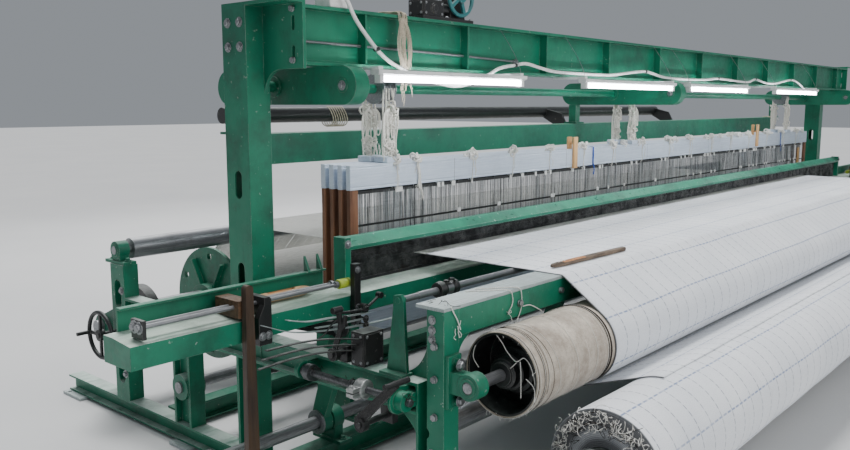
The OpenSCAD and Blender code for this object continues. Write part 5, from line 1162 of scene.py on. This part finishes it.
SLUNG = [(-3.660, 1.980), (-3.570, 1.900), (-3.490, 1.850), (-3.390, 1.815), (-3.280, 1.780), (-3.140, 1.760),
         (-3.030, 1.750), (-2.910, 1.765), (-2.760, 1.810), (-2.660, 1.848), (-2.520, 1.868), (-2.420, 1.880),
         (-2.280, 1.862), (-2.120, 1.845), (-1.850, 1.842), (-1.550, 1.842), (-1.400, 1.850), (-1.180, 1.870),
         (-1.010, 1.880), (-0.890, 1.868), (-0.660, 1.845), (-0.110, 1.845), (0.230, 1.862), (0.590, 1.852),
         (0.880, 1.848), (1.040, 1.875), (1.290, 1.850), (1.550, 1.850), (1.950, 1.890)]
WIRE_ROUTE = np.array([
    (-3.760, -0.220, 2.110), (-3.758, -0.240, 2.106), (-3.745, -0.255, 2.085), (-3.710, -0.255, 2.030),
    *[(x, WIRE_Y, z) for x, z in SLUNG],
    (2.140, -0.252, 1.875), (2.230, -0.260, 1.845), (2.280, -0.280, 1.812), (2.296, -0.310, 1.795),
    (2.296, -0.339, 1.795)])
wire_line = curve(WIRE_ROUTE, 4)
sheath = finish("white cable", fibre(tint(238, 238, 236), tint(210, 210, 206), 60.0, 0.45, 0.1))
cable = piece("lamp_cable", [tube(wire_line, WIRE_R, 12)], sheath, "frame", smooth=60.0)
piece("junction_box", [bar((-3.810, -0.220, 2.0601), (-3.710, -0.120, 2.140))], sheath, "frame",
      bevel=0.006)
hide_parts("wiring")
wraps = [collar(-0.010, 0.010, WIRE_R + 0.0004, 0.0112, (x, WIRE_Y, z), 16)
         for x, z in SLUNG if x in (-3.570, -2.520, -1.010, 0.230, 1.040, 1.950)]
piece("cable_wraps", wraps, black, "frame")


# HAND WINCH. A geared winch for the harness stands on the girder, with a teal handwheel on a cast bracket.
# Its gear case is closed by plates held on with small screws.
dress(black, "winch_base")
dress(finish("handwheel enamel", enamel(tint(52, 132, 134), tint(26, 84, 88), tint(190, 196, 192), wear=1.0)),
      "winch_wheel")


def cover(low, high, axis, way, inset=0.009):
    """A thin plate between two corners, and screws set in from its corners on the side it faces."""
    out = "xyz".index(axis)
    first, second = [k for k in range(3) if k != out]
    spots = []
    for a in (low[first] + inset, high[first] - inset):
        for b in (low[second] + inset, high[second] - inset):
            spot = list(high if way > 0 else low)
            spot[first], spot[second] = a, b
            spots.append(spot)
    return bar(low, high), bolts(spots, axis, 0.0036, way)


front_plate, front_screws = cover((-3.209, -0.2155, 2.080), (-3.076, -0.2125, 2.144), "y", -1.0)
top_plate, top_screws = cover((-3.209, -0.207, 2.1495), (-3.076, -0.123, 2.1525), "z", 1.0)
end_plate, end_screws = cover((-3.2175, -0.207, 2.080), (-3.2145, -0.123, 2.144), "x", -1.0)
boss = turned([(-0.2150, 0.0), (-0.2150, 0.026), (-0.2205, 0.024), (-0.2210, 0.017), (-0.2260, 0.016),
               (-0.2265, 0.0)], (-3.1425, 0, 2.112), "y", 32)
piece("winch_covers", [front_plate, top_plate, end_plate, boss], black, "frame", bevel=0.0008)
feet = bolts([(x, y, 2.074) for x in (-3.040, -2.862) for y in (-0.209, -0.121)], "z", 0.007)
piece("winch_screws", front_screws + top_screws + end_screws + feet, steel, "frame")


# WARP AND WARP BEAM. The yarn comes off a flanged beam held back by brake drums and over a steel whip roll.
# It goes on through the healds and the reed to the cloth, its ends drawn about five millimetres apart.
END_PITCH = 0.0052
WHIP, BEAM = np.array([1.215, 0.9048]), np.array([1.380, 0.470])
WHIP_PATH_R, BEAM_PATH_R = 0.057, 0.252
YARN = fibre(tint(236, 236, 232), tint(186, 186, 180), 400.0, 0.8, 0.6, (0.05, 1.0, 1.0))
yarn = finish("warp yarn", YARN)
ON_BEAM = ((inside(x=(-3.43, -3.3335)), GREEN), (inside(x=(2.5595, 2.66)), GREEN),
           (inside(x=(-3.3337, 2.5597)), YARN), (inside(beyond=3.7918), BLACK),
           (inside(axis=(*BEAM, 0.0364)), STEEL))
dress(finish("warp beam", STEEL, *ON_BEAM), "warp_beam")
dress(black, "let_off_wheel")


def ends(xs, path, r):
    """Parallel yarns, one at each x, each a three-sided tube of radius r along a path of (y, z)."""
    path = np.asarray(path, float)
    way = np.gradient(path, axis=0)
    way /= np.linalg.norm(way, axis=1)[:, None]
    across = np.stack([-way[:, 1], way[:, 0]], -1)
    a = np.array([0.5, 2.6, 4.7])
    sway = draw.normal(size=(len(xs), 1, 1)) * 0.0008
    along = xs[:, None, None] + sway + r * np.cos(a)[None, None] + np.zeros((1, len(path), 1))
    beside = path[None, :, None] + r * np.sin(a)[None, None, :, None] * across[None, :, None]
    beside = np.broadcast_to(beside, (len(xs), len(path), 3, 2))
    return strands(np.concatenate([along[..., None], beside], -1))


end_x = np.arange(CLOTH_X0 + 0.003, CLOTH_X1, END_PITCH)
for part, pick, body, eye_y in (("odd", 0, "healds_front", 0.100), ("even", 1, "healds_rear", 0.220)):
    to_eye = np.stack([np.linspace(FELL_Y, eye_y, 9), np.full(9, CLOTH_Z)], -1)
    from_eye = np.stack([np.linspace(eye_y, 0.62, 9), np.full(9, CLOTH_Z)], -1)
    front_part = piece(f"warp_ends_{part}_front", [ends(end_x[pick::2], to_eye, 0.0011)], yarn, None,
                       smooth=70.0)
    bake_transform(front_part)
    rear_part = piece(f"warp_ends_{part}_rear", [ends(end_x[pick::2], from_eye, 0.0016)], yarn, None,
                      smooth=70.0)
    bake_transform(rear_part)
# The rear line goes level to the whip roll, over it in an arc, and by the common tangent on to the beam.
span = BEAM - WHIP
leave = np.arctan2(span[1], span[0]) + np.arccos((WHIP_PATH_R - BEAM_PATH_R) / np.linalg.norm(span))
over = np.linspace(np.pi / 2, leave, 8)
round_beam = np.linspace(leave, leave - 0.7, 6)
rear_path = np.concatenate([
    np.stack([np.linspace(0.62, WHIP[0], 3)[:2], np.full(2, CLOTH_Z)], -1),
    WHIP + WHIP_PATH_R * np.stack([np.cos(over), np.sin(over)], -1),
    BEAM + BEAM_PATH_R * np.stack([np.cos(round_beam), np.sin(round_beam)], -1)])
warp = piece("warp_over_whip_roll", [ends(end_x, rear_path, 0.0018)], yarn, "frame", smooth=70.0)
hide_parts("warp_sheet")


# MAIN DRIVE. A belt turns the crankshaft, whose throws push the sley through two connecting rods. Cut gears
# take it down to the cam shaft at half speed.
CRANK, CAMS = (0.620, 0.560), (0.620, 0.300)
ON_SHAFT = ((inside(beyond=4.074), BLACK), (inside(axis=(*CRANK, 0.0324)), STEEL))
dress(finish("crankshaft", STEEL, *ON_SHAFT), "crankshaft")
dress(finish("cam shaft", BLACK, (inside(axis=(*CAMS, 0.0284)), STEEL)), "cam_shaft")
dress(black, "connecting_rod_left", "connecting_rod_right", "motor_pulley")
dress(green, "motor")
dress(finish("belt rubber", fibre(tint(52, 52, 52), tint(28, 28, 28), 90.0, 0.75, 0.4)), "drive_belt")


# SIDE RAIL DRIVE AND LEVERS. A shaft along the left rail drives the take-up through flanged green housings.
# A clamp hub, a small cam, the T-lever and the starting handle stand beside it.
dress(finish("oily shaft", bare_metal(tint(126, 128, 130), tint(62, 63, 65), 0.38, 0.85, 0.4, 0.1, 0.6)),
      "take_up_drive")
HOUSINGS = [(inside(y=span, z=(0.5, 0.66)), GREEN) for span in ((-0.911, -0.850), (-0.350, -0.320))]
dress(finish("rail fittings", BLACK, *HOUSINGS), "rail_fittings")
dress(finish("worn lever iron", bare_metal(tint(74, 74, 74), tint(22, 23, 24), 0.45, 0.7, 0.5, 0.25, 0.5)),
      "t_lever", "start_handle")
side_plate, side_screws = cover((-4.046, -0.6425, 0.671), (-3.952, -0.6395, 0.791), "y", -1.0)
left_plate, left_screws = cover((-4.0545, -0.634, 0.671), (-4.0515, -0.576, 0.791), "x", -1.0)
piece("stop_box_covers", [side_plate, left_plate], black, "frame", bevel=0.0008)
piece("stop_box_screws", side_screws + left_screws, steel, "frame")


# SWELL SPRINGS AND THE STOP FINGER. Thin spring strips, a bent finger and a trip wire are bolted to the
# guide post in front of the race, with their ends free over the side rail.
POST_FACE, STRIP_Y, FINGER_X = -0.3855, -0.420, -3.8325


def strip(line, wide, thick):
    """A flat spring along a line in the X-Z plane: its four corners lie half of thick across the line and
    half of wide along Y."""
    line = curve([(x, STRIP_Y, z) for x, z in line], 6)
    way = np.gradient(line, axis=0)
    way /= np.linalg.norm(way, axis=1)[:, None]
    up = np.cross(way, (0.0, 1.0, 0.0)) * thick / 2
    along_y = np.array([0.0, wide / 2, 0.0])
    rows = np.stack([line + a * up + b * along_y for a, b in ((1, -1), (1, 1), (-1, 1), (-1, -1))], 1)
    return solid(rows, close_cols=True, cap=True)


springs = [strip(line, wide, thick) for line, wide, thick in (
    ([(-4.245, 0.852), (-4.14, 0.826), (-4.016, 0.817), (-3.92, 0.806), (-3.815, 0.800)], 0.020, 0.003),
    ([(-4.362, 0.855), (-4.20, 0.795), (-3.958, 0.761), (-3.78, 0.750), (-3.656, 0.746)], 0.018, 0.003),
    ([(-4.10, 0.792), (-3.98, 0.783), (-3.815, 0.778)], 0.014, 0.004))]
piece("swell_springs", springs, worn_plate, "sley")
bent_finger = curve([(-4.005, STRIP_Y - 0.004, 0.834), (-3.92, STRIP_Y - 0.004, 0.823),
                     (-3.835, STRIP_Y - 0.002, 0.821), (-3.79, STRIP_Y, 0.834), (-3.739, STRIP_Y, 0.862)])
trip_wire = curve([(-3.987, STRIP_Y - 0.006, 0.806), (-4.03, STRIP_Y - 0.010, 0.788),
                   (-4.062, STRIP_Y - 0.012, 0.762), (-4.103, STRIP_Y - 0.012, 0.748)])
fingers = [tube(bent_finger, 0.0065, 10), tube(trip_wire, 0.0028, 8),
           disc(-0.014, 0.014, 0.018, (FINGER_X, STRIP_Y, 0.824), "y"),
           disc(-0.012, 0.012, 0.014, (-3.739, STRIP_Y, 0.862), "y", 20)]
for z in (0.824, 0.778, 0.750):
    fingers.append(disc(POST_FACE, STRIP_Y - 0.012, 0.007, (FINGER_X, 0, z), "y", 16))
    fingers += bolts([(FINGER_X, STRIP_Y - 0.010, z)], "y", 0.0085, -1.0)
piece("stop_fingers", fingers, black, "sley")


# TAKE-UP CLAMP AND RAIL CLUTTER. The clamp hub on the side shaft has pale worn jaws with two pinch bolts,
# and grease nipples, split pins and wound waste yarn have gathered along the rail.
HUB = (-4.100, -0.680, 0.605)
hub = [(-0.024, 0.0), (-0.024, 0.030), (-0.020, 0.037), (0.020, 0.037), (0.024, 0.030), (0.024, 0.0)]
jaws = [turned(hub, HUB, "y", 40)]
jaws += [bar((-4.172, -0.700, z), (-4.128, -0.664, z + 0.015)) for z in (0.588, 0.607)]
PINCH_X = -4.154
for y in (-0.690, -0.674):
    jaws += bolts([(PINCH_X, y, 0.622)], "z", 0.007)
    jaws += bolts([(PINCH_X, y, 0.588)], "z", 0.007, -1.0)
WORN_CLAMP = bare_metal(tint(214, 216, 214), tint(120, 122, 122), 0.34, 0.7, 0.5, 0.1, 0.3)
piece("clamp_jaws", jaws, finish("worn clamp", WORN_CLAMP), "side_shaft", bevel=0.0015)
waste = []
for y in (-0.905, -0.62, -0.40):
    waste += tangle((-4.100, y, 0.622), (0.012, 0.018, 0.004), 9, 0.014, 0.0011)
piece("waste_on_side_shaft", waste, dark_thread, "side_shaft")
piece("waste_on_cap", tangle((-4.0, -0.995, 0.965), (0.02, 0.03, 0.002), 6, 0.014, 0.0010), dark_thread,
      "frame")
